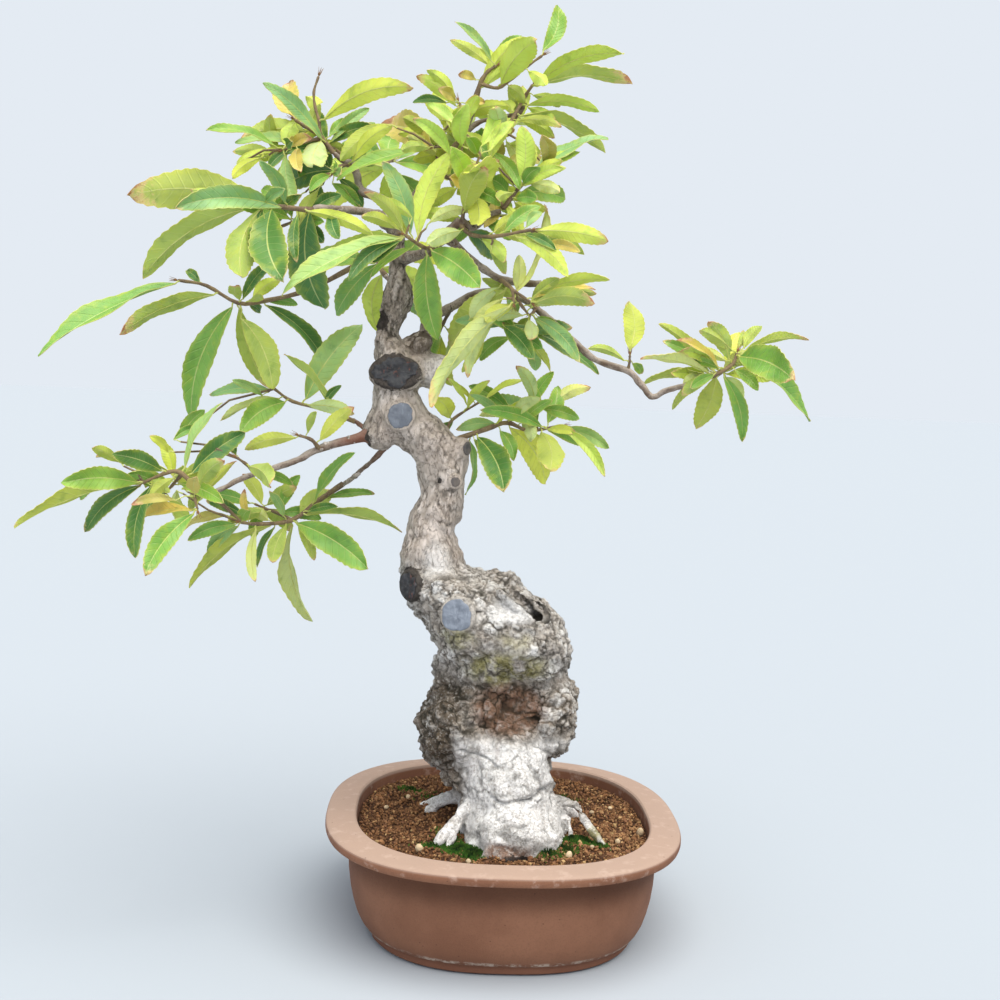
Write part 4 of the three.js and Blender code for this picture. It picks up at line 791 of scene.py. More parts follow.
def billows(points, cell, seed, wander):
    """Pillows with sharp creases between them: 0 in a crease, and up to 1 on top of a pillow."""
    shift = Vector((seed, seed * 0.7, -seed))
    height = np.empty(len(points))
    for i, (x, y, z) in enumerate(points):
        at = Vector((x / cell[0], y / cell[1], z / cell[2])) + shift
        at += noise.noise_vector(at * 0.6) * wander
        height[i] = abs(noise.noise(at))
    return np.minimum(height * 2.6, 1)


def chips(points, cell, seed, wander):
    """Angular plates: how far in from the split round its plate a place is, and how high the plate stands."""
    shift = Vector((-seed, seed * 0.4, seed))
    edge = np.empty(len(points))
    own = np.empty(len(points))
    for i, (x, y, z) in enumerate(points):
        at = Vector((x / cell[0], y / cell[1], z / cell[2])) * 0.62 + shift
        at += noise.noise_vector(at * 0.8) * wander + noise.noise_vector(at * 3.1) * wander * 0.35
        distances, centres = noise.voronoi(at)
        edge[i] = distances[1] - distances[0]
        own[i] = noise.cell(centres[0] * 7.3)
    return edge, own


def swells(points, cell, seed):
    """Broad uneven swells, between about -1 and 1."""
    shift = Vector((seed, -seed, seed * 0.5))
    return np.array([noise.fractal(Vector(p) / cell + shift, 0.9, 2.0, 3) for p in points])


def near(points, middle, half, inner=0.65, outer=1.15):
    """1 in the heart of a rounded zone and 0 outside it."""
    return step_between(np.linalg.norm((points - middle) / np.array(half), axis=1), outer, inner)


def beside(points, path, reach):
    """1 along a path and 0 beyond its reach. It reaches further in depth, into the split that it follows."""
    nearest = np.full(len(points), np.inf)
    for here, there in zip(np.array(path[:-1], float), np.array(path[1:], float)):
        span = there - here
        along = np.clip((points - here) @ span / span.dot(span), 0, 1)
        off = (points - here - along[:, None] * span) * (1, 0.35, 1)
        nearest = np.minimum(nearest, np.linalg.norm(off, axis=1))
    return step_between(nearest + swells(points, 6, 3.0) * 0.3 * reach, reach, 0.5 * reach)


def zones_of(points):
    """Where each kind of bark grows, as shares of one whole."""
    x, y, z = points[:, 0], points[:, 1], points[:, 2]
    tongue = step_between(y, -46, -62) * step_between(z, 206, 190) * step_between(np.abs(x - 6), 66, 52)
    tongue = np.maximum(tongue, step_between(z, 128, 116) * step_between(np.abs(y), 118, 96))
    stem = step_between(z, 352, 374)
    top = step_between(z - 0.25 * (x + 128), 570, 590)
    upper = step_between(z, 240, 262) * (1 - stem)
    lower = (1 - tongue) * (1 - upper) * (1 - stem)
    return {
        "tongue": tongue, "lower": lower, "upper": upper * (1 - tongue), "stem": stem * (1 - top), "top": top,
    }


# Size of the big plates and of the small ones, across and along the stem, their depth and that of the
# knobs, how dark their cracks are, how dark the fine cracks beside them, the crust, and how worn it is.
BARK_KINDS = {
    "tongue": ((21, 21, 14), (7.5, 7.5, 6), 3.0, 3.2, 1.0, 0.45, 0.25, 0.6),
    "lower": ((13, 13, 12), (5.5, 5.5, 5), 6.5, 7, 1.0, 0.8, 1.1, 0.2),
    "upper": ((12, 12, 10), (5, 5, 4.4), 4.6, 3.4, 1.0, 0.75, 1.1, 0.2),
    "stem": ((8, 8, 15), (4, 4, 7), 2.6, 2.8, 0.75, 0.55, 0.35, 0.6),
    "top": ((7, 7, 17), (3.5, 3.5, 8), 3.6, 2.0, 0.95, 0.6, 1.1, 0.6),
}
SMOOTH_RIDGE = ((0, -68, 326), (30, 24, 13))
SMOOTH_BALL = ((-6, -78, 288), (25, 30, 20))
TONGUE_BALL = ((2, -118, 124), (46, 26, 24), 0.5, 1.2)
KNOT_HOLE = (-77, -28, 448)
DEAD_WOOD = ((-76, -2, 554), (30, 24, 24))
BARE_FOOT = ((-76, -34, 369), (17, 18, 22), 0.4, 1.3)
# Where the slit under the ridge runs, from its upper end down.
SLIT = [(-18, -60, 354), (-6, -60, 348), (6, -58, 338), (17, -54, 330), (27, -50, 317)]
# Folds across the tongue: height, waviness and depth.
TONGUE_FOLDS = [(181, 4, 2.4), (149, 3, 4.6)]
# Where the colour of the bark changes: strength, middle, half sizes, and how far out it starts to fade.
STAINS = {
    "algae": [
        (1, (-8, -72, 266), (54, 44, 22), 0.5), (0.8, (-58, -74, 296), (26, 30, 15), 0.4),
        (0.5, (2, -78, 298), (24, 30, 12), 0.4), (1, (94, -78, 103), (22, 20, 17)),
    ],
    "russet": [
        (1, (0, -56, 226), (38, 40, 27), 0.72, 1.2), (1, (0, -126, 101), (27, 20, 12), 0.6),
        (0.6, (-12, -94, 195), (5, 20, 16), 0.3),
    ],
    "weathered": [
        (1.2, (-72, -30, 212), (44, 64, 64), 0.5), (0.9, (26, -66, 334), (40, 20, 12), 0.5, 1.1),
        (1, (-98, -4, 584), (20, 18, 16)), (0.5, (-104, -20, 318), (22, 40, 26), 0.5),
    ],
    # Dark spots round the cuts and on the stem's left side; in the knot hole, at the lowest limb's root and
    # under the tongue the dark is partly painted shade.
    "dark_spots_and_shade": [
        (0.9, (-142, -4, 604), (14, 22, 12), 0.4), (1, (-104, -30, 343), (20, 20, 20), 0.75),
        (1, (-125, -26, 555), (28, 18, 20), 0.75), (1, KNOT_HOLE, (4, 6, 4), 0.5),
        (0.8, (-152, -10, 488), (14, 22, 13), 0.4), (0.55, (-142, 0, 650), (9, 20, 60), 0.3),
        (1, (0, -124, 96), (26, 20, 9), 0.5),
    ],
}
BARK_FACES_KEPT = 0.57


def stain(points, key):
    return sum(strength * near(points, *spot) for strength, *spot in STAINS[key])


def mesh_normals(piece):
    normals = np.empty(len(piece.data.vertices) * 3)
    piece.data.vertices.foreach_get("normal", normals)
    return normals.reshape(-1, 3)


def bark_relief(points, kind, seed):
    """How far one kind of bark stands out, how deep its cracks are and how high its plates."""
    big, small, depth, knob, dark, fine_dark, crust, wear = BARK_KINDS[kind]
    edge, own = chips(points, big, seed * 2.3, 0.55)
    small_edge, small_own = chips(points, small, seed * 4.1, 0.5)
    pillow = billows(points, small, seed * 5.3, 0.9)
    broad = step_between(edge, 0, 0.26) * (0.62 + 0.38 * own)
    chip = step_between(small_edge, 0, 0.3) * (0.35 + 0.65 * small_own)
    plate = 0.5 * broad + 0.36 * chip + 0.14 * pillow
    crumbs = swells(points, 4, seed * 1.7) * crust
    # Here the bark is rough, and there it has worn smooth.
    rough = 1 - step_between(swells(points, 26, seed * 1.3), 0.2, -0.25) * wear
    push = depth * rough * (plate - 0.45) + knob * swells(points, 21, seed) + crumbs * rough
    fine_crack = fine_dark * step_between(small_edge, 0.11, 0.02)
    crack = np.maximum(step_between(edge, 0.10, 0.02), fine_crack) * dark * rough
    return np.array([push, crack, plate])


def break_bark(piece):
    """Pushes the bark out in plates and knobs, and keeps for the finish how deep each place lies."""
    points = mesh_points(piece)
    shares = zones_of(points)
    relief = np.zeros((3, len(points)))
    for seed, kind in enumerate(BARK_KINDS, 1):
        inside = shares[kind] > 0.01
        relief[:, inside] += shares[kind][inside] * bark_relief(points[inside], kind, seed)
    push, crack, height = relief
    tongue, lower, upper, stem, top = shares.values()
    x, z = points[:, 0], points[:, 2]
    for level, wave, depth in TONGUE_FOLDS:
        off = z - level - wave * np.sin(x / 12 + level) - 0.5 * wave * np.sin(x / 4.3)
        fold = np.exp(-(off / (0.5 * depth)) ** 2) * step_between(np.sin(x / 17 + level * 0.3), -0.7, 0.1)
        push -= depth * tongue * fold
        crack = np.maximum(crack, 0.75 * tongue * fold)
    push += 4 * near(points, *TONGUE_BALL)
    push -= 3.5 * near(points, KNOT_HOLE, (4, 6, 4), 0.4)
    # The slit opens like a wedge towards its lower end.
    slit = np.maximum(beside(points, SLIT, 5), beside(points, SLIT[2:], 7.5))
    push -= 5 * slit
    ridge, dead_wood, bare_foot = (near(points, *spot) for spot in (SMOOTH_RIDGE, DEAD_WOOD, BARE_FOOT))
    calm = away_from_cuts(points) * (1 - 0.55 * ridge) * (1 - 0.6 * dead_wood) * (1 - 0.5 * bare_foot)
    calm *= 1 - 0.5 * near(points, *SMOOTH_BALL)
    slim = 1 - 0.55 * step_between(z, 600, 700)
    place_points(piece, points + mesh_normals(piece) * (push * slim * calm)[:, None])
    weathered = stain(points, "weathered") + 0.6 * top + 0.4 * lower * step_between(z, 186, 160)
    # The cracks, the tongue's folds and the slit are darkened in the finish: partly dark inner bark, partly
    # painted shade.
    zones = {
        "crack": np.maximum(crack * calm, slit),
        "plate_height": np.where(calm < 1, height * calm + (0.3 + 0.35 * ridge) * (1 - calm), height),
        "pale": tongue + 0.22 * upper + 0.6 * (ridge + dead_wood + bare_foot),
        "streaked": stem + top,
        "algae": stain(points, "algae"),
        "russet": stain(points, "russet"),
        "weathered": weathered,
        "dark_spots_and_shade": stain(points, "dark_spots_and_shade"),
    }
    for key, values in zones.items():
        kept = piece.data.attributes.new(key, "FLOAT", "POINT")
        kept.data.foreach_set("value", np.clip(values, 0, 1).astype(np.float32))


break_bark(trunk)
thinned = trunk.modifiers.new("thinned", "DECIMATE")
thinned.ratio = BARK_FACES_KEPT
apply_modifiers(trunk)
shade(trunk, 180)


# Oak bark: dead cork, dry and matt, ash-pale where it is old and rubbed, brown where it is fresh or
# sheltered, and dark in its cracks; the pale plate tops carry a painted highlight, and the sunk places and
# cracks painted shade. Green algae live on the damp underside of the burl.
def make_bark():
    material, shader = new_material("weathered_oak_bark", roughness=0.93, specular=0.2)
    crack, plate_height, pale, streaked, algae, russet, weathered, dark_spots_and_shade = (
        add_node(material, "Attribute", output="Fac", attribute_name=key)
        for key in ("crack", "plate_height", "pale", "streaked", "algae", "russet", "weathered", "dark_spots_and_shade")
    )
    where = add_node(material, "TexCoord", output="Object")
    # On the stem the grain is drawn out upwards from its foot.
    stretch = {"Vector": where, "Location": (0, 0, 0.181), "Scale": (1.0, 1.0, 0.5)}
    grain = lay_over(material, where, add_node(material, "Mapping", stretch), streaked)
    fleck = add_node(material, "TexNoise", grain_size(grain, 2.2, 4, 0.75))
    mottle = patches(material, grain, 7, 0.40, 0.64, 5, 0.7)
    # Raised plates are paler and the sunk bark between them browner: partly the cork's own colour, partly a
    # painted highlight on the plate tops and painted shade in the sunk places.
    rise = share_of(material, (plate_height, 0.25, 0.72))
    sunk = add_node(material, "Math", {0: 1.0, 1: rise}, operation="SUBTRACT")
    unstreaked = add_node(material, "Math", {0: 1.0, 1: streaked}, operation="SUBTRACT")

    colour = lay_over(material, "#a6998b", "#d3cabf", mottle)
    colour = lay_over(material, colour, "#e2ded7", patches(material, where, 30, 0.40, 0.62, 4, 0.6), 0.6)
    colour = lay_over(material, colour, "#ece9e4", rise, unstreaked, 0.85)
    # Old cork in the shelter of the burls has gone dark in patches.
    stained = patches(material, where, 19, 0.49, 0.60, 5, 0.7)
    colour = lay_over(material, colour, "#75695a", stained, unstreaked, 0.42)
    colour = lay_over(material, colour, "#dfd0c5", streaked, 0.7)
    colour = lay_over(material, colour, "#85745f", sunk, 0.4)
    worn = patches(material, grain, 12, 0.34, 0.54, 5, 0.7)
    colour = lay_over(material, colour, "#5b4d3d", weathered, worn, 0.85)
    colour = lay_over(material, colour, "#fbf9f6", pale, (fleck, 0.78, 0.40), 0.94)
    colour = lay_over(material, colour, "#999250", algae, patches(material, where, 17, 0.34, 0.56, 4), 0.85)
    # Dark pits, in part painted shade, and pale crumbs of cork show where bark is neither chalky nor
    # streaked.
    covered = add_node(material, "Math", {0: pale, 1: streaked}, operation="MAXIMUM")
    corky = add_node(material, "Math", {0: 1.0, 1: covered}, operation="SUBTRACT")
    colour = lay_over(material, colour, "#4b4133", (fleck, 0.45, 0.33), corky, 0.7)
    colour = lay_over(material, colour, "#eeebe4", (fleck, 0.55, 0.66), corky, 0.5)
    colour = lay_over(material, colour, "#7d583f", russet, (mottle, -0.9, 0.6), 0.88)
    # Hair cracks are where a wandering noise crosses its middle value. On the pale tongue they are fainter.
    wander = add_node(material, "TexNoise", grain_size(grain, 5.5, 3, 0.6))
    off_middle = add_node(material, "Math", {0: wander, 1: 0.5}, operation="SUBTRACT")
    off_middle = add_node(material, "Math", {0: off_middle}, operation="ABSOLUTE")
    hair_crack = share_of(material, (off_middle, 0.016, 0.002))
    faint = add_node(material, "Math", {0: pale, 1: -0.3, 2: 0.5}, operation="MULTIPLY_ADD")
    colour = lay_over(material, colour, "#5d5142", hair_crack, faint)
    # The cracks are darkened: partly the dark inner bark, partly painted shade in their depths.
    dark = add_node(material, "Math", {0: pale, 1: -0.3, 2: 0.92}, operation="MULTIPLY_ADD")
    colour = lay_over(material, colour, "#2e2b22", crack, dark)
    # The dark spots round the cuts and on the stem, and the painted shade in the knot hole, at the lowest
    # limb's root and under the tongue, have a ragged edge.
    ragged = add_node(material, "TexNoise", grain_size(where, 6, 4, 0.6))
    ragged = add_node(material, "Math", {0: ragged, 1: 1.6, 2: -0.8}, operation="MULTIPLY_ADD")
    dark_reach = add_node(material, "Math", {0: dark_spots_and_shade, 1: ragged}, operation="ADD")
    colour = lay_over(material, colour, "#2d2724", (dark_reach, 0.40, 0.62), (dark_spots_and_shade, 0.02, 0.2), 0.88)
    gaps = share_of(material, hair_crack, -0.8)
    relief = add_node(material, "Math", {0: fleck, 1: 1.3, 2: gaps}, operation="MULTIPLY_ADD")
    return close_finish(material, shader, colour, relief, 1.4)


finish_piece(trunk, make_bark(), "bark", "trunk")


# The limbs
# Slim limbs that fork from the stem and from each other. Their bark is still thin: grey-brown, finely
# ringed and knotted where leaves once stood, and paler where it faces up.

def make_limbs():
    limbs = [limb_skin(name, rows, 7, 14) for name, rows in LIMBS.items()]
    piece = join_pieces(limbs, "limbs")
    points = mesh_points(piece)
    knots = swells(points, 9, 6.0) * 0.9 + swells(points, 3.5, 2.0) * 0.35
    place_points(piece, points + mesh_normals(piece) * knots[:, None])
    return piece


# Young oak bark: smooth and tight, with fine dark rings and corky pores about 2 mm apart.
def make_limb_bark():
    material, shader = new_material("young_oak_bark", roughness=0.8, specular=0.3)
    where = add_node(material, "TexCoord", output="Object")
    pore = add_node(material, "TexNoise", grain_size(where, 1.8, 3, 0.7))
    colour = lay_over(material, "#6b5747", "#9f9184", patches(material, where, 16, 0.36, 0.62, 4, 0.6))
    colour = lay_over(material, colour, "#4a3b32", (pore, 0.5, 0.68), 0.7)
    normal = add_node(material, "NewGeometry", output="Normal")
    upward = add_node(material, "SeparateXYZ", {0: normal}, "Z")
    colour = lay_over(material, colour, "#c3b8ab", (upward, 0.0, 0.9), 0.4)
    # The lowest limb's foot is red-brown, where its bark has peeled.
    foot = {0: where, 1: (-0.150, -0.006, 0.489)}
    from_foot = add_node(material, "VectorMath", foot, "Value", operation="DISTANCE")
    colour = lay_over(material, colour, "#7a4a38", (from_foot, 0.046, 0.018), 0.7)
    return close_finish(material, shader, colour, pore, 0.5)


limbs = make_limbs()
shade(limbs, 60)
finish_piece(limbs, make_limb_bark(), "bark")


# The wound seals
# Cut paste trowelled over each pruning cut, where it has dried to a leathery skin: blue-grey where it is
# new, charcoal where it is old. It is thickest in the middle and feathers out at the callus.

SEAL_GAP = 0.3
SEAL_SIDES = 72
SEAL_TONES = {
    "lower_front": "grey", "left_edge": "charcoal", "stem_foot": "charcoal", "stem_mid": "slate",
    "right_edge": "aged", "small_front": "aged",
}


def make_seal(name, middle, face, radius, wide):
    """A skin of paste over a cut. Over old dead wood it sinks like a crater, and its edge is ragged."""
    turn = np.arange(SEAL_SIDES) / SEAL_SIDES * 2 * math.pi
    # How ragged the edge is, how much lower the middle lies, and how deep the wrinkles are.
    frayed, sunk, wrinkled = (0.34, 0.9, 1.3) if SEAL_TONES[name] == "charcoal" else (0.12, 0.0, 0.5)
    edge = [Vector((math.cos(a), math.sin(a), radius)) for a in turn]
    ragged = np.array([1.4 * noise.noise(at * 1.1) + 0.8 * noise.noise(at * 3.2) for at in edge])
    # Share of the radius and height in millimetres, from the underside over the edge to the middle.
    profile = [(0.95, 0.0), (1.0, 0.35), (0.97, 0.95), (0.9, 1.3), (0.8, 1.45)]
    profile += [(share, 1.5 - sunk * (1 - share)) for share in (0.68, 0.56, 0.44, 0.32, 0.2, 0.09)]
    rings = []
    for share, height in profile:
        reach = radius * share * (1.06 + frayed * ragged * share)
        level = np.full(SEAL_SIDES, SEAL_GAP + height)
        ring = np.stack([wide * reach * np.cos(turn), reach * np.sin(turn), level], axis=1)
        if height > 1 or share < 0.7:
            spots = [(Vector(point) * 0.3 + Vector((radius, 0, 0)), Vector(point) * 0.8) for point in ring]
            wrinkles = np.array([noise.noise(coarse) + 0.6 * noise.noise(fine) for coarse, fine in spots])
            ring[:, 2] += wrinkled * wrinkles
        rings.append(ring @ face_turn(face).T + middle)
    return raise_skin("seal_skin_" + name, rings)


# Water-based wound paste: a dull rubbery film with trowel streaks and fine shrinkage wrinkles.
def make_paste(name, thin, thick, rim, wear):
    material, shader = new_material(name, roughness=0.68, specular=0.35)
    where = add_node(material, "TexCoord", output="Object")
    trowelled = {"Vector": where, "Rotation": (0.4, 0.9, 0.5), "Scale": (1, 1, 0.3)}
    streaked = add_node(material, "Mapping", trowelled)
    streak = add_node(material, "TexNoise", grain_size(streaked, 4, 5, 0.7))
    colour = lay_over(material, thin, thick, patches(material, where, 8, 0.36, 0.64, 4))
    colour = lay_over(material, colour, rim, (streak, 0.56, 0.68), wear)
    return close_finish(material, shader, colour, streak, 1.1)


# Tone: name of the material, its thin, thick and rim colours with how far the rim has worn, and the slot.
PASTES = {
    "grey": ("dried_blue_grey_cut_paste", ("#868d98", "#717883", "#9fa6b0", 0.5), "grey_cut_paste"),
    "slate": ("weathered_slate_cut_paste", ("#757a83", "#656a73", "#8f959e", 0.5), "grey_cut_paste"),
    "charcoal": ("dried_charcoal_cut_paste", ("#464648", "#2e2d2f", "#7d4a3c", 0.6), "dark_cut_paste"),
    "aged": ("aged_dusty_cut_paste", ("#6b635c", "#524e50", "#8b8079", 0.5), "grey_cut_paste"),
}
pastes = {tone: (make_paste(name, *look), slot) for tone, (name, look, slot) in PASTES.items()}
for name, tone in SEAL_TONES.items():
    middle, face, radius, _, wide = CUTS[name]
    seal = make_seal(name, middle, face, radius, wide)
    shade(seal, 40)
    finish_piece(seal, *pastes[tone], "seal_" + name)


# The leafy sprays
# Twigs with long leaves that have a bristle-tipped tooth at the end of each side vein. Every leaf is one
# blade modelled once and laid along its own line: arched, folded up along its midrib, twisted and wavy at
# the edge. The upper face is waxy and the underside dull and paler, and a thin yellow line edges both.

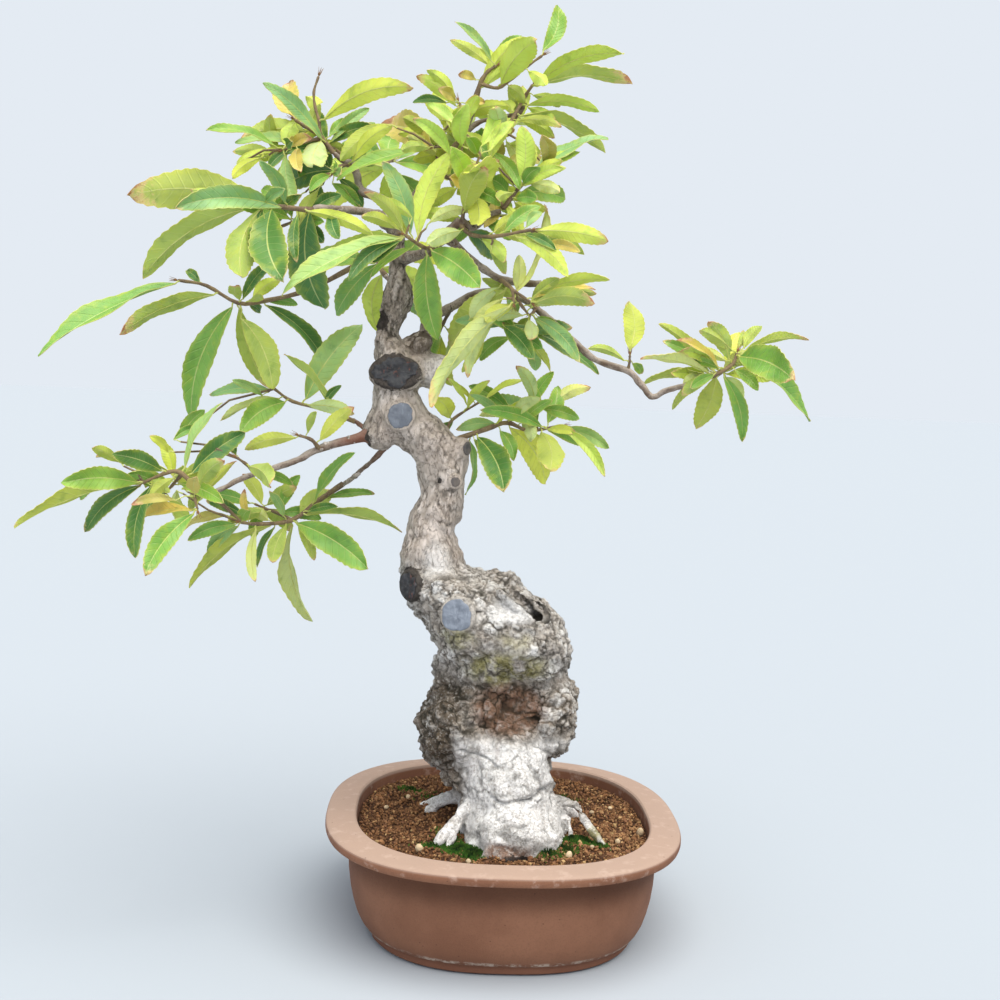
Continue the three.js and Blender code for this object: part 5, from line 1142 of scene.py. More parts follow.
# A twig is its first and last radius, then x, z and depth at each bend. A leaf is its base x and z, its
# tip x and z, the width that shows, and its tone, with its own lean in degrees where it has one. The
# young leaves, and those of the heart twigs below, have no solid of their own.
SPRAYS = [
    {
      "name": "spray_far_left",
      "twigs": [
        [3.0, 1.6, [
          [-133, 680, 4], [-172, 657, 30], [-215, 633, 52], [-255, 621, 62],
          [-284, 617, 62], [-316, 633, 56], [-343, 637, 50],
        ]],
      ],
      "leaves": [
        [-341, 639, -481, 557, 18, "green"], [-319, 636, -336, 647, 10, "dark"],
        [-304, 625, -401, 581, 14, "olive"], [-289, 617, -328, 499, 28, "green"],
        [-286, 616, -251, 533, 20, "olive"], [-281, 602, -248, 533, 27, "olive"],
        [-261, 618, -194, 556, 16, "dark"], [-282, 616, -287, 634, 14, "olive"],
        [-277, 617, -259, 623, 8, "olive"], [-276, 616, -262, 609, 10, "dark"],
        [-283, 621, -252, 659, 14, "dark"], [-275, 620, -243, 642, 14, "lime"],
        [-261, 620, -225, 618, 10, "green"],
      ],
    },
    {
      "name": "spray_left_hanging",
      "twigs": [
        [3.0, 2.0, [[-213, 712, -43], [-234, 713, -54], [-263, 716, -64]]],
      ],
      "leaves": [
        [-238, 711, -349, 708, 24, "sheen"], [-263, 714, -379, 638, 20, "olive"],
        [-267, 715, -281, 642, 30, "olive"], [-255, 710, -240, 642, 35, "dark"],
        [-216, 710, -198, 615, 36, "dark"], [-237, 715, -267, 758, 14, "sheen"],
        [-263, 724, -394, 718, 39, "singed"], [-257, 720, -304, 729, 10, "dark"],
        [-218, 722, -152, 690, 13, "lime"], [-227, 713, -222, 660, 12, "olive"],
      ],
      "young": [
        [-287, 709, -262, 659, 19, "dark"], [-297, 713, -334, 726, 10, "lime"],
        [-228, 708, -227, 660, 11, "dark"], [-194, 710, -186, 685, 14, "dark"],
        [-250, 707, -263, 730, 15, "green"], [-275, 711, -241, 731, 12, "sheen"],
      ],
    },
    {
      "name": "spray_upper_left",
      "twigs": [
        [2.6, 1.6, [[-194, 769, 5], [-206, 783, 4], [-214, 789, 2], [-224, 794, 0], [-232, 799, -4]]],
        [1.8, 1.2, [[-208, 786, 4], [-209, 799, 4], [-213, 812, 6], [-215, 827, 7], [-211, 842, 8]]],
        [2.0, 1.4, [[-206, 783, 4], [-223, 778, -12], [-243, 770, -20]]],
      ],
      "leaves": [
        [-243, 768, -320, 785, 9, "green"], [-216, 788, -285, 780, 22, "olive"],
        [-220, 784, -291, 774, 10, "sheen"], [-200, 778, -265, 834, 14, "sheen"],
        [-227, 804, -239, 835, 27, "amber"], [-235, 774, -258, 749, 10, "dark"],
        [-230, 775, -226, 749, 14, "amber"], [-249, 766, -289, 756, 12, "lime"],
        [-206, 800, -117, 836, 21, "lime"], [-196, 780, -160, 814, 12, "sheen"],
        [-210, 808, -223, 823, 16, "lime"], [-206, 782, -214, 756, 27, "pale"],
        [-198, 785, -182, 802, 10, "green"],
      ],
      "young": [
        [-266, 758, -230, 717, 15, "sheen"], [-259, 753, -234, 778, 13, "dark"],
        [-238, 754, -227, 780, 11, "amber"], [-264, 761, -293, 740, 12, "lime"],
        [-289, 754, -256, 762, 9, "lime"], [-249, 769, -228, 802, 17, "lime"],
        [-237, 765, -216, 783, 12, "amber"],
      ],
    },
    {
      "name": "spray_upper_left_inner",
      "twigs": [
        [2.2, 1.5, [[-175, 757, 0], [-184, 757, -14], [-193, 750, -22]]],
      ],
      "leaves": [
        [-177, 758, -137, 798, 15, "lime"], [-189, 753, -242, 733, 27, "dark"],
        [-192, 748, -163, 717, 12, "dark"], [-197, 748, -216, 730, 12, "green"],
      ],
      "young": [
        [-247, 737, -190, 754, 14, "green"], [-194, 739, -166, 717, 13, "green"],
        [-226, 725, -263, 714, 12, "green"], [-208, 732, -225, 697, 13, "olive"],
        [-212, 745, -201, 719, 14, "dark"], [-202, 758, -187, 748, 12, "sheen"],
        [-229, 724, -189, 754, 14, "green"],
      ],
    },
    {
      "name": "spray_crown_left",
      "twigs": [
        [3.4, 1.6, [[-88, 762, 12], [-76, 777, 4], [-69, 792, -2], [-66, 809, -4], [-71, 823, -6]]],
        [1.6, 1.2, [[-76, 777, 4], [-86, 780, -4], [-94, 779, -8]]],
      ],
      "leaves": [
        [-94, 780, -149, 797, 33, "amber"], [-92, 778, -190, 743, 13, "green"],
        [-74, 815, -114, 848, 14, "lime"], [-66, 802, -100, 822, 10, "lime"],
        [-78, 778, -115, 806, 12, "lime"], [-69, 784, -63, 823, 20, "lime"],
        [-65, 750, -76, 780, 18, "lime"], [-68, 824, -92, 836, 12, "amber"],
        [-84, 823, -117, 822, 9, "dark"], [-75, 823, -104, 854, 13, "lime"],
        [-67, 799, -52, 831, 12, "lime"],
      ],
      "young": [
        [-87, 833, -46, 825, 11, "amber"], [-104, 816, -74, 805, 10, "lime"],
        [-116, 805, -79, 769, 15, "lime"], [-70, 782, -64, 820, 20, "lime"],
        [-138, 799, -187, 762, 19, "olive"], [-87, 806, -106, 827, 13, "lime"],
        [-97, 798, -126, 775, 12, "olive"],
      ],
    },
    {
      "name": "spray_crown_top",
      "twigs": [
        [3.0, 1.4, [[-55, 828, 18], [-50, 845, 16], [-44, 855, 14], [-36, 861, 12]]],
        [2.0, 1.3, [[-50, 843, 16], [-33, 840, 10], [-19, 850, 4], [-4, 863, 0], [9, 873, -4]]],
      ],
      "leaves": [
        [8, 874, 23, 923, 18, "green"], [-32, 838, 3, 888, 29, "lime"],
        [-42, 855, -12, 892, 12, "green"], [-51, 843, -6, 869, 9, "lime"],
        [-36, 863, -78, 902, 9, "sheen"], [-38, 859, -82, 884, 11, "olive"],
        [-49, 845, -73, 851, 9, "amber"], [-47, 847, -32, 867, 8, "lime"],
        [-25, 844, -6, 826, 13, "olive"],
      ],
      "young": [
        [-54, 827, -10, 891, 16, "lime"], [-53, 831, -7, 869, 9, "lime"],
        [-27, 858, -54, 878, 11, "lime"], [-12, 866, 14, 845, 14, "lime"],
      ],
    },
    {
      "name": "spray_crown_right",
      "twigs": [
        [2.6, 1.5, [[-7, 824, 48], [-6, 832, 48], [1, 844, 44]]],
        [2.2, 1.4, [[-6, 832, 48], [-14, 817, 24], [-23, 801, 6], [-33, 787, -8]]],
      ],
      "leaves": [
        [0, 843, 91, 879, 14, "lime"], [2, 842, 101, 850, 11, "olive"],
        [-6, 822, 69, 821, 10, "lime"], [-16, 808, 32, 805, 10, "olive"],
        [-14, 815, 77, 781, 10, "olive"], [-39, 781, -35, 820, 20, "pale"],
        [-35, 779, -15, 808, 14, "lime"], [-31, 766, -57, 791, 16, "green"],
        [-38, 777, -7, 741, 12, "green"],
      ],
      "young": [
        [-31, 831, -8, 843, 13, "olive"], [-49, 784, -34, 819, 19, "pale"],
        [17, 767, 12, 796, 17, "amber"], [-10, 812, -29, 828, 12, "lime"],
        [-1, 835, 30, 825, 11, "olive"], [-2, 822, 26, 808, 12, "lime"],
      ],
    },
    {
      "name": "spray_crown_middle",
      "twigs": [
        [2.4, 1.4, [[-94, 755, 11], [-83, 751, 6], [-69, 746, -8], [-57, 739, -18], [-43, 737, -26]]],
      ],
      "leaves": [
        [-59, 739, -25, 762, 8, "lime"], [-57, 741, -26, 725, 14, "green"],
        [-65, 744, -96, 721, 14, "lime"], [-43, 737, -14, 717, 16, "lime"],
        [-55, 737, -48, 704, 22, "lime"], [-72, 747, -80, 777, 16, "lime"],
        [-43, 739, -30, 770, 12, "lime"], [-81, 750, -58, 766, 12, "green"],
      ],
      "young": [
        [-55, 708, -54, 763, 36, "lime"], [-78, 742, -75, 779, 21, "lime"],
        [-56, 721, -78, 750, 17, "amber"], [-63, 790, -34, 763, 12, "green"],
        [-47, 749, -65, 771, 11, "pale"],
      ],
    },
    {
      "name": "spray_crown_low",
      "twigs": [
        [2.4, 1.4, [[-23, 722, -30], [-8, 743, -26], [0, 751, -24]]],
      ],
      "leaves": [
        [-2, 754, 79, 796, 14, "sheen"], [-8, 745, -7, 802, 22, "lime"],
        [-8, 743, 38, 765, 12, "lime"], [-5, 735, 39, 734, 21, "green"],
        [12, 723, -29, 730, 11, "olive"], [-15, 731, -41, 751, 16, "green"],
        [-20, 725, -5, 700, 12, "lime"],
      ],
      "young": [
        [-10, 748, -8, 804, 19, "fresh"], [-9, 743, 35, 765, 12, "fresh"],
        [-1, 755, 51, 781, 12, "fresh"], [-27, 728, 11, 732, 14, "green"],
        [-38, 771, -17, 806, 14, "lime"], [-12, 741, -31, 769, 12, "lime"],
        [-15, 748, 12, 764, 13, "green"], [-21, 726, 6, 710, 12, "lime"],
        [2, 756, 34, 772, 12, "lime"], [1, 746, 33, 741, 13, "pale"],
      ],
    },
    {
      "name": "spray_centre",
      "twigs": [
        [2.6, 1.5, [[-92, 679, -30], [-101, 680, -50], [-120, 691, -70]]],
      ],
      "leaves": [
        [-112, 687, -145, 763, 18, "sheen"], [-108, 687, -76, 777, 21, "lime"],
        [-117, 691, -162, 732, 12, "olive"], [-119, 691, -138, 713, 9, "lime"],
        [-113, 687, -134, 709, 9, "lime"], [-120, 690, -241, 627, 17, "sheen"],
        [-123, 690, -200, 663, 12, "lime"], [-121, 687, -175, 644, 14, "dark"],
        [-109, 681, -153, 648, 9, "green"], [-99, 676, -84, 589, 26, "green"],
        [-97, 676, -43, 642, 29, "green"],
      ],
      "young": [
        [-114, 709, -146, 725, 10, "lime"], [-96, 705, -56, 719, 12, "pale"],
        [-120, 694, -152, 663, 15, "dark"], [-130, 698, -164, 708, 13, "olive"],
      ],
    },
    {
      "name": "spray_centre_right",
      "twigs": [
        [2.4, 1.5, [[-66, 705, -36], [-55, 695, -50], [-31, 694, -70], [5, 702, -92]]],
      ],
      "leaves": [
        [-62, 699, -31, 674, 24, "dark"], [-66, 703, -97, 683, 17, "pale"],
        [7, 704, 84, 694, 18, "lime"], [-11, 697, 60, 680, 14, "olive"],
        [-13, 695, 44, 657, 16, "lime"], [-27, 697, 14, 726, 14, "green"],
        [-37, 696, -6, 715, 12, "olive"], [-5, 700, 32, 683, 10, "dark"],
      ],
      "young": [
        [20, 695, 67, 703, 12, "olive"], [15, 686, 56, 682, 10, "amber"],
        [-34, 678, -18, 657, 11, "olive"], [-3, 700, 15, 720, 10, "sheen"],
        [-47, 692, -19, 669, 13, "lime"], [-25, 699, 20, 688, 13, "olive"],
      ],
    },
    {
      "name": "spray_right_hanging",
      "twigs": [
        [2.6, 1.5, [[-23, 651, -30], [-17, 647, -44], [-11, 642, -56], [-9, 630, -60]]],
        [1.6, 1.2, [[-11, 642, -56], [-1, 636, -60], [8, 630, -62]]],
      ],
      "leaves": [
        [-15, 644, -72, 582, 29, "olive"], [-8, 627, -89, 521, 17, "pale"],
        [17, 641, 87, 656, 10, "lime"], [8, 631, 74, 641, 13, "singed"],
        [9, 627, 73, 631, 18, "singed"], [-11, 632, 19, 727, 5, "pale"],
        [-23, 643, -52, 612, 14, "pale"],
      ],
      "young": [
        [5, 635, 73, 645, 11, "amber"], [-23, 631, -51, 590, 14, "pale"],
      ],
    },
    {
      "name": "spray_middle_hanging",
      "twigs": [
        [2.6, 1.5, [[-47, 634, 8], [-40, 622, -6], [-34, 615, -14], [-22, 609, -18]]],
      ],
      "leaves": [
        [-29, 609, -52, 552, 12, "pale"], [-36, 615, -73, 557, 27, "pale"],
        [-22, 609, 13, 573, 20, "dark"], [-17, 607, 80, 560, 16, "dark"],
        [-19, 605, 31, 561, 8, "olive"],
      ],
      "young": [
        [-44, 612, -58, 557, 14, "olive"],
        [-33, 626, -6, 602, 13, "green"], [-27, 619, 20, 581, 15, "sheen"],
      ],
    },
    {
      "name": "spray_middle_right",
      "twigs": [
        [2.0, 1.3, [[14, 624, -4], [12, 621, -14], [9, 618, -22]]],
      ],
      "leaves": [
        [9, 618, 60, 572, 15, "sheen"], [11, 620, -5, 592, 12, "olive"],
        [12, 618, 39, 600, 11, "green"],
      ],
      "young": [
        [8, 620, 38, 588, 12, "pale"],
      ],
    },
    {
      "name": "spray_middle_back",
      "twigs": [
        [2.2, 1.4, [[-73, 618, 12], [-78, 607, 26], [-82, 597, 36]]],
      ],
      "leaves": [
        [-81, 599, -90, 569, 14, "green"], [-80, 601, -121, 623, 14, "sheen"],
        [-79, 603, -47, 578, 16, "olive"], [-82, 595, -68, 543, 18, "lime"],
      ],
    },
    {
      "name": "spray_right_upright",
      "twigs": [
        [1.6, 1.2, [[110, 567, -42], [111, 574, -45], [111, 580, -47]]],
      ],
      "leaves": [
        [111, 580, 108, 635, 21, "olive"], [111, 574, 68, 586, 9, "olive"],
        [111, 576, 124, 563, 9, "green"],
      ],
    },
    {
      "name": "spray_right_tip",
      "twigs": [
        [2.6, 1.5, [[182, 556, -58], [214, 574, -62], [220, 587, -62]]],
      ],
      "leaves": [
        [214, 577, 190, 618, 17, "olive"], [198, 568, 139, 614, 11, "olive"],
        [192, 563, 144, 597, 12, "green"], [206, 570, 158, 598, 9, "amber"],
        [221, 591, 226, 611, 8, "olive"], [223, 589, 293, 604, 9, "olive"],
        [222, 584, 279, 563, 33, "green"], [222, 579, 298, 521, 17, "green"],
        [216, 573, 244, 551, 12, "green"], [208, 566, 230, 498, 16, "green"],
        [204, 564, 182, 509, 24, "olive"], [196, 566, 122, 577, 9, "pale"],
        [196, 562, 127, 553, 8, "olive"], [208, 572, 165, 578, 9, "green"],
        [200, 564, 166, 543, 12, "olive"], [198, 561, 157, 528, 9, "olive"],
      ],
      "young": [
        [218, 589, 181, 609, 14, "olive"], [211, 580, 174, 587, 12, "pale"],
        [223, 585, 263, 570, 16, "olive"], [202, 568, 174, 550, 11, "green"],
        [227, 593, 244, 616, 11, "olive"],
      ],
    },
    {
      "name": "spray_lower_right",
      "twigs": [
        [3.0, 1.6, [[-66, 487, 4], [-31, 501, 22], [-10, 508, 32], [12, 501, 38], [45, 507, 48]]],
      ],
      "leaves": [
        [-42, 496, -11, 437, 30, "dark"], [-10, 505, 31, 448, 27, "lime"],
        [-19, 502, -2, 470, 14, "green"], [24, 502, 35, 462, 28, "olive"],
        [27, 503, 61, 489, 10, "lime"], [45, 505, 91, 457, 13, "lime"],
        [39, 507, 94, 486, 16, "sheen"], [29, 508, 39, 547, 17, "green"],
        [29, 508, -38, 520, 16, "green"], [24, 508, -26, 531, 24, "sheen"],
        [-15, 507, -62, 499, 13, "sheen"], [-26, 503, 8, 532, 8, "lime"],
        [-48, 494, -50, 433, 7, "green"],
      ],
      "young": [
        [2, 511, 34, 533, 11, "green"], [-18, 513, -49, 535, 10, "sheen"],
        [3, 506, 29, 480, 13, "lime"], [-48, 499, -24, 459, 13, "dark"],
        [23, 512, 59, 501, 10, "lime"], [18, 514, 9, 552, 12, "green"],
        [-13, 516, 22, 534, 13, "pale"], [28, 507, 64, 488, 12, "green"],
      ],
    },
    {
      "name": "spray_right_thin",
      "twigs": [
        [2.0, 1.2, [[-72, 496, 12], [-66, 509, 20], [-39, 528, 30]]],
      ],
      "leaves": [
        [-49, 521, -74, 551, 5, "lime"], [-39, 530, 7, 552, 6, "lime"],
        [-43, 525, -64, 545, 5, "lime"], [-68, 509, -88, 531, 18, "lime"],
        [-63, 513, -78, 492, 10, "green"],
      ],
      "young": [
        [-64, 529, -30, 550, 9, "lime"],
      ],
    },
    {
      "name": "spray_lower_left_tip",
      "twigs": [
        [2.8, 1.5, [[-314, 422, -64], [-336, 444, -66], [-350, 445, -64], [-374, 434, -60]]],
        [1.8, 1.2, [[-326, 434, -65], [-322, 418, -72], [-320, 409, -76]]],
      ],
      "leaves": [
        [-374, 433, -456, 430, 23, "green"], [-372, 436, -502, 383, 10, "olive"],
        [-342, 450, -422, 458, 9, "olive"], [-350, 443, -406, 461, 18, "dark"],
        [-372, 431, -431, 382, 18, "dark"], [-362, 433, -381, 357, 18, "dark"],
        [-342, 417, -386, 411, 9, "amber"], [-321, 408, -390, 384, 11, "amber"],
        [-319, 405, -371, 340, 22, "green"], [-336, 450, -297, 517, 9, "sheen"],
        [-328, 444, -274, 488, 22, "dark"], [-322, 426, -295, 459, 17, "olive"],
        [-319, 414, -282, 459, 8, "olive"], [-326, 420, -322, 442, 13, "amber"],
        [-340, 440, -368, 416, 12, "olive"],
      ],
      "young": [
        [-381, 400, -348, 425, 9, "olive"], [-413, 445, -437, 414, 15, "green"],
        [-400, 454, -426, 467, 11, "olive"], [-385, 422, -368, 431, 9, "amber"],
      ],
    },
    {
      "name": "spray_lower_left_middle",
      "twigs": [
        [3.0, 1.6, [[-174, 440, 43], [-197, 423, 38], [-225, 401, 22], [-259, 396, 8], [-275, 397, 4]]],
      ],
      "leaves": [
        [-221, 405, -182, 431, 22, "olive"], [-207, 420, -164, 472, 11, "green"],
        [-195, 423, -142, 431, 9, "green"], [-215, 406, -113, 393, 11, "olive"],
        [-223, 397, -146, 354, 31, "green"], [-224, 395, -201, 298, 14, "pale"],
        [-228, 395, -243, 357, 17, "olive"], [-241, 395, -326, 328, 14, "olive"],
        [-239, 394, -258, 352, 8, "dark"], [-261, 392, -260, 337, 11, "pale"],
        [-275, 396, -307, 363, 15, "sheen"], [-279, 399, -329, 377, 15, "green"],
        [-218, 397, -201, 361, 12, "olive"], [-245, 401, -268, 410, 12, "pale"],
        [-231, 405, -248, 430, 10, "sheen"], [-273, 404, -311, 418, 12, "dark"],
        [-267, 402, -273, 431, 8, "amber"], [-213, 408, -179, 417, 10, "dark"],
        [-289, 403, -337, 385, 9, "amber"],
      ],
      "young": [
        [-345, 440, -324, 440, 17, "olive"], [-336, 429, -299, 424, 8, "olive"],
        [-335, 441, -314, 457, 8, "olive"], [-341, 427, -332, 388, 14, "pale"],
        [-303, 427, -267, 410, 13, "green"], [-313, 431, -327, 406, 11, "olive"],
      ],
    },
    {
      "name": "spray_left_middle",
      "twigs": [
        [2.4, 1.4, [[-164, 503, 18], [-194, 514, 26], [-227, 521, 30], [-246, 533, 30]]],
      ],
      "leaves": [
        [-232, 521, -278, 488, 24, "green"], [-236, 524, -299, 499, 8, "pale"],
        [-246, 534, -310, 524, 12, "sheen"], [-216, 519, -165, 511, 14, "pale"],
        [-217, 522, -160, 601, 29, "sheen"], [-180, 512, -237, 568, 9, "olive"],
        [-198, 516, -179, 539, 8, "dark"],
      ],
      "young": [
        [-338, 482, -315, 509, 14, "green"], [-258, 526, -288, 540, 9, "sheen"],
      ],
    },
    {
      "name": "spray_left_low",
      "twigs": [
        [2.4, 1.4, [[-199, 474, -24], [-207, 483, -38], [-219, 487, -46]]],
      ],
      "leaves": [
        [-203, 477, -166, 518, 15, "olive"], [-213, 485, -204, 512, 8, "olive"],
        [-217, 486, -274, 471, 14, "olive"],
      ],
    },
    {
      "name": "spray_left_outer",
      "twigs": [
        [2.0, 1.3, [[-263, 447, -40], [-272, 456, -50], [-281, 462, -56]]],
      ],
      "leaves": [
        [-279, 462, -293, 480, 10, "green"], [-272, 456, -248, 435, 20, "olive"],
        [-266, 453, -225, 437, 10, "green"],
      ],
      "young": [
        [-345, 478, -323, 491, 9, "green"], [-351, 466, -369, 481, 9, "lime"],
      ],
    },
]

BLADE_ROWS = 36
TEETH = 11
TOOTH_DEPTH = 0.13
BLADE_THICKNESS = 0.5
PETIOLE_RADIUS = 1.1
PETIOLE_REACH = 7.0
PETIOLE_BEND = 0.35
SLIMNESS = 0.19
FULLNESS = 1.08
YOUNG_LEAF = 43.5
HEAVY_LEAF = 115.0
HEAVY_LEAF_LEAN = 0.42
MOST_LEAN = 1.05
SPIRAL_LEAN = 0.62
SPIRAL_STEP = 2.4
BACKLIT_HEIGHT = 600.0
TRUNK_MIDDLE = -60.0
LEAN_SHIFTS = [0, 8, -8, 16, -16, 25, -25, 36, -36, 48, -48]


def draw_between(seed):
    """A steady draw between 0 and 1 for each number."""
    value = math.sin(seed * 12.9898) * 43758.5453
    return value - math.floor(value)


def place_on(twig, share):
    """The x, z and depth at a share of the way along a twig."""
    last = len(twig) - 1
    place = share * last
    spot = min(int(place), last - 1)
    return [here + (there - here) * (place - spot) for here, there in zip(twig[spot], twig[spot + 1])]


def back_spray(name, twig, count, seed):
    """Leaves that follow a twig at the back in a spiral and hang a little."""
    leaves = []
    for i in range(count):
        x, z, _ = place_on(twig, 0.35 + 0.65 * i / (count - 1))
        heading = i * SPIRAL_STEP + seed
        reach = 58 + 30 * draw_between(seed + i)
        leaves.append([
            x + 4 * math.cos(heading), z + 4 * math.sin(heading), x + reach * math.cos(heading),
            z + reach * 0.6 * math.sin(heading) - 14, 24, "green" if i % 3 else "lime", -48,
        ])
    return {"name": name, "twigs": [[3, 1.6, twig]], "leaves": leaves}


SPRAYS.append(back_spray(
    "spray_back_crown", [[-132, 748, 90], [-138, 756, 112], [-140, 762, 138], [-134, 764, 164]], 8, 3
))
SPRAYS.append(back_spray(
    "spray_back_stem", [[-138, 650, 92], [-144, 658, 116], [-146, 664, 142], [-138, 668, 168]], 7, 11
))


# Twigs in the heart of the plant carry smaller leaves of their own. Each grows with the spray that is named
# here, and is a path of x, z and depth, a number of leaves and their tones.
HEART_TWIGS = {
    "spray_crown_middle": (
        [[-94, 755, 11], [-84, 768, 24], [-70, 776, 34], [-52, 778, 40]], 10, ("lime", "pale"),
    ),
    "spray_upper_left": (
        [[-206, 783, 4], [-222, 776, 14], [-238, 768, 20], [-250, 758, 24]], 9, ("olive", "lime"),
    ),
    "spray_left_hanging": (
        [[-213, 712, -43], [-224, 704, -30], [-240, 696, -20], [-256, 690, -14]], 9, ("dark", "green"),
    ),
    "spray_right_hanging": (
        [[-11, 642, -56], [-2, 628, -48], [8, 616, -40]], 7, ("pale", "olive"),
    ),
    "spray_middle_hanging": (
        [[-22, 609, -18], [-10, 600, -8], [4, 592, -2]], 7, ("sheen", "green"),
    ),
    "spray_crown_right": (
        [[-7, 824, 48], [-14, 812, 58], [-22, 798, 64], [-30, 784, 66]], 9, ("lime", "pale"),
    ),
    "spray_crown_low": (
        [[-23, 722, -30], [-30, 735, -10], [-34, 750, 8], [-30, 768, 20]], 9, ("lime", "amber"),
    ),
    "spray_crown_left": (
        [[-88, 762, 12], [-92, 776, 26], [-88, 792, 36], [-76, 806, 40]], 9, ("lime", "olive"),
    ),
    "spray_centre_right": (
        [[-66, 705, -36], [-50, 708, -24], [-30, 714, -12], [-8, 716, -6]], 8, ("lime", "green"),
    ),
    "spray_upper_left_inner": (
        [[-175, 757, 0], [-186, 768, 14], [-200, 776, 24], [-216, 778, 30]], 8, ("green", "dark"),
    ),
    "spray_lower_right": (
        [[-10, 508, 32], [0, 518, 44], [14, 524, 54], [30, 526, 60]], 8, ("green", "pale"),
    ),
    "spray_lower_left_middle": (
        [[-225, 401, 22], [-240, 408, 34], [-252, 412, 44], [-262, 416, 52]], 8, ("green", "olive"),
    ),
    "spray_lower_left_tip": (
        [[-336, 444, -66], [-344, 434, -50], [-352, 424, -40]], 7, ("lime", "green"),
    ),
    "spray_right_tip": (
        [[214, 574, -62], [206, 568, -48], [198, 560, -36]], 10, ("pale", "lime"),
    ),
}
HEART_TWIG_RADII = [2.0, 1.2]

# The newest shoot stands up in front of the crown, with leaves of a fresh bright green.
NEW_SHOOT_SPRAY = "spray_centre_right"
NEW_SHOOT = [[-64, 706, -36], [-62, 722, -42], [-60, 742, -44], [-54, 758, -46], [-48, 774, -46]]
NEW_SHOOT_LEAVES = [
    [-67, 782, -63, 823, 17, "fresh"], [-48, 782, -35, 822, 15, "fresh"], [-39, 778, -16, 808, 12, "fresh"],
    [-78, 772, -116, 806, 14, "fresh"], [-75, 803, -103, 821, 10, "fresh"], [-64, 744, -78, 780, 20, "fresh"],
    [-52, 703, -45, 761, 28, "olive"], [-60, 741, -25, 763, 10, "fresh"], [-27, 763, -62, 791, 14, "green"],
]


def heart_leaves(twig, count, tones):
    """Smaller leaves in a spiral round a twig."""
    leaves = []
    for i in range(count):
        x, z, _ = place_on(twig, 0.3 + 0.7 * i / (count - 1))
        heading = i * SPIRAL_STEP + twig[0][0]
        reach = 42 + 18 * draw_between(twig[0][1] + i)
        leaves.append([
            x + 4 * math.cos(heading), z + 4 * math.sin(heading), x + reach * math.cos(heading),
            z + reach * 0.7 * math.sin(heading) + 4, 14, tones[i % 2], 40 * math.sin(1.7 * i),
        ])
    return leaves


def unit(vector):
    return vector / np.linalg.norm(vector)


def nearest_on_twig(spray, x, z):
    best, best_distance = None, math.inf
    for _, _, path in spray["twigs"]:
        for i in range(len(path) - 1):
            here, there = np.array(path[i], float), np.array(path[i + 1], float)
            span = there - here
            along = ((x - here[0]) * span[0] + (z - here[1]) * span[1]) / (span[0] ** 2 + span[1] ** 2)
            spot = here + span * min(max(along, 0.5 if i == 0 else 0.0), 1.0)
            distance = math.hypot(spot[0] - x, spot[1] - z)
            if distance < best_distance:
                best, best_distance = spot, distance
    return best


def lay_leaf(spray, row, seed, shift):
    """Where a leaf lies: the foot of its stalk, the base of its blade, its line, sizes and facing."""
    base_x, base_z, tip_x, tip_z, shown_width, tone = row[:6]
    foot = nearest_on_twig(spray, base_x, base_z)
    depth = foot[2]
    stalk_foot = on_sight(*foot)
    base = on_sight(base_x, base_z, depth)
    shown_length = math.hypot(tip_x - base_x, tip_z - base_z)
    most = HEAVY_LEAF_LEAN if shown_length > HEAVY_LEAF else MOST_LEAN
    foreshortened = math.acos(min(1, shown_length / (3 * shown_width)))
    spiral = SPIRAL_LEAN * math.sin(SPIRAL_STEP * seed)
    wanted = math.copysign(max(abs(spiral), foreshortened), spiral)
    if len(row) > 6:
        wanted = math.radians(row[6])
    lean = min(max(wanted + math.radians(shift), -most), most)
    tip = on_sight(tip_x, tip_z, depth - shown_length * math.tan(lean))
    reach = base - stalk_foot
    ahead = unit(tip - stalk_foot)
    if np.linalg.norm(reach) < PETIOLE_REACH or unit(reach).dot(ahead) < PETIOLE_BEND:
        base = stalk_foot + ahead * PETIOLE_REACH
    along = tip - base
    length = np.linalg.norm(along)
    along = along / length
    to_eye = np.array((0.0, -1.0, 0.0))
    to_eye = unit(to_eye - along * to_eye.dot(along))
    upward = np.cross(along, to_eye)
    if upward.dot((-0.4 if base_x < TRUNK_MIDDLE else 0.4, 0, 1)) < 0:
        upward = -upward
    width = max(shown_width, SLIMNESS * length)
    underside = tone in ("olive", "pale", "singed") or (tone == "lime" and base_z > BACKLIT_HEIGHT)
    turn = math.asin(min(1, shown_width / width)) * (-1 if underside else 1)
    normal = upward * math.cos(turn) + to_eye * math.sin(turn)
    return {
        "foot": stalk_foot, "base": base, "tip": tip, "along": along, "length": length, "width": width,
        "lift": upward, "normal": normal, "seed": seed, "tone": tone, "shown": shown_length,
    }


def leaf_on_its_solid(spray, row, seed, solid_points):
    """The leaf with the lean that its solid was bent to. The youngest leaves have no solid."""
    leaf = lay_leaf(spray, row, seed, 0)
    if leaf["shown"] < YOUNG_LEAF:
        return leaf
    for shift in LEAN_SHIFTS:
        tried = lay_leaf(spray, row, seed, shift)
        if np.min(np.linalg.norm(solid_points - tried["tip"], axis=1)) < 0.2:
            return tried
    return leaf


def blade_frame(leaf, u):
    """At shares u of the blade's length: the places of its midrib, and the ways it faces and spreads."""
    seed = leaf["seed"]
    arch = leaf["length"] * (0.05 + 0.06 * draw_between(seed + 0.3))
    twist = 0.3 * (draw_between(seed + 0.7) - 0.5) * u[:, None]
    along, normal = leaf["along"], leaf["normal"]
    face = normal * np.cos(twist) + np.cross(along, normal) * np.sin(twist)
    side = np.cross(along, face)
    lift = leaf["lift"] * (arch * 4 * u * (1 - u))[:, None]
    rib = leaf["base"] + along * (leaf["length"] * u)[:, None] + lift
    return rib, face, side


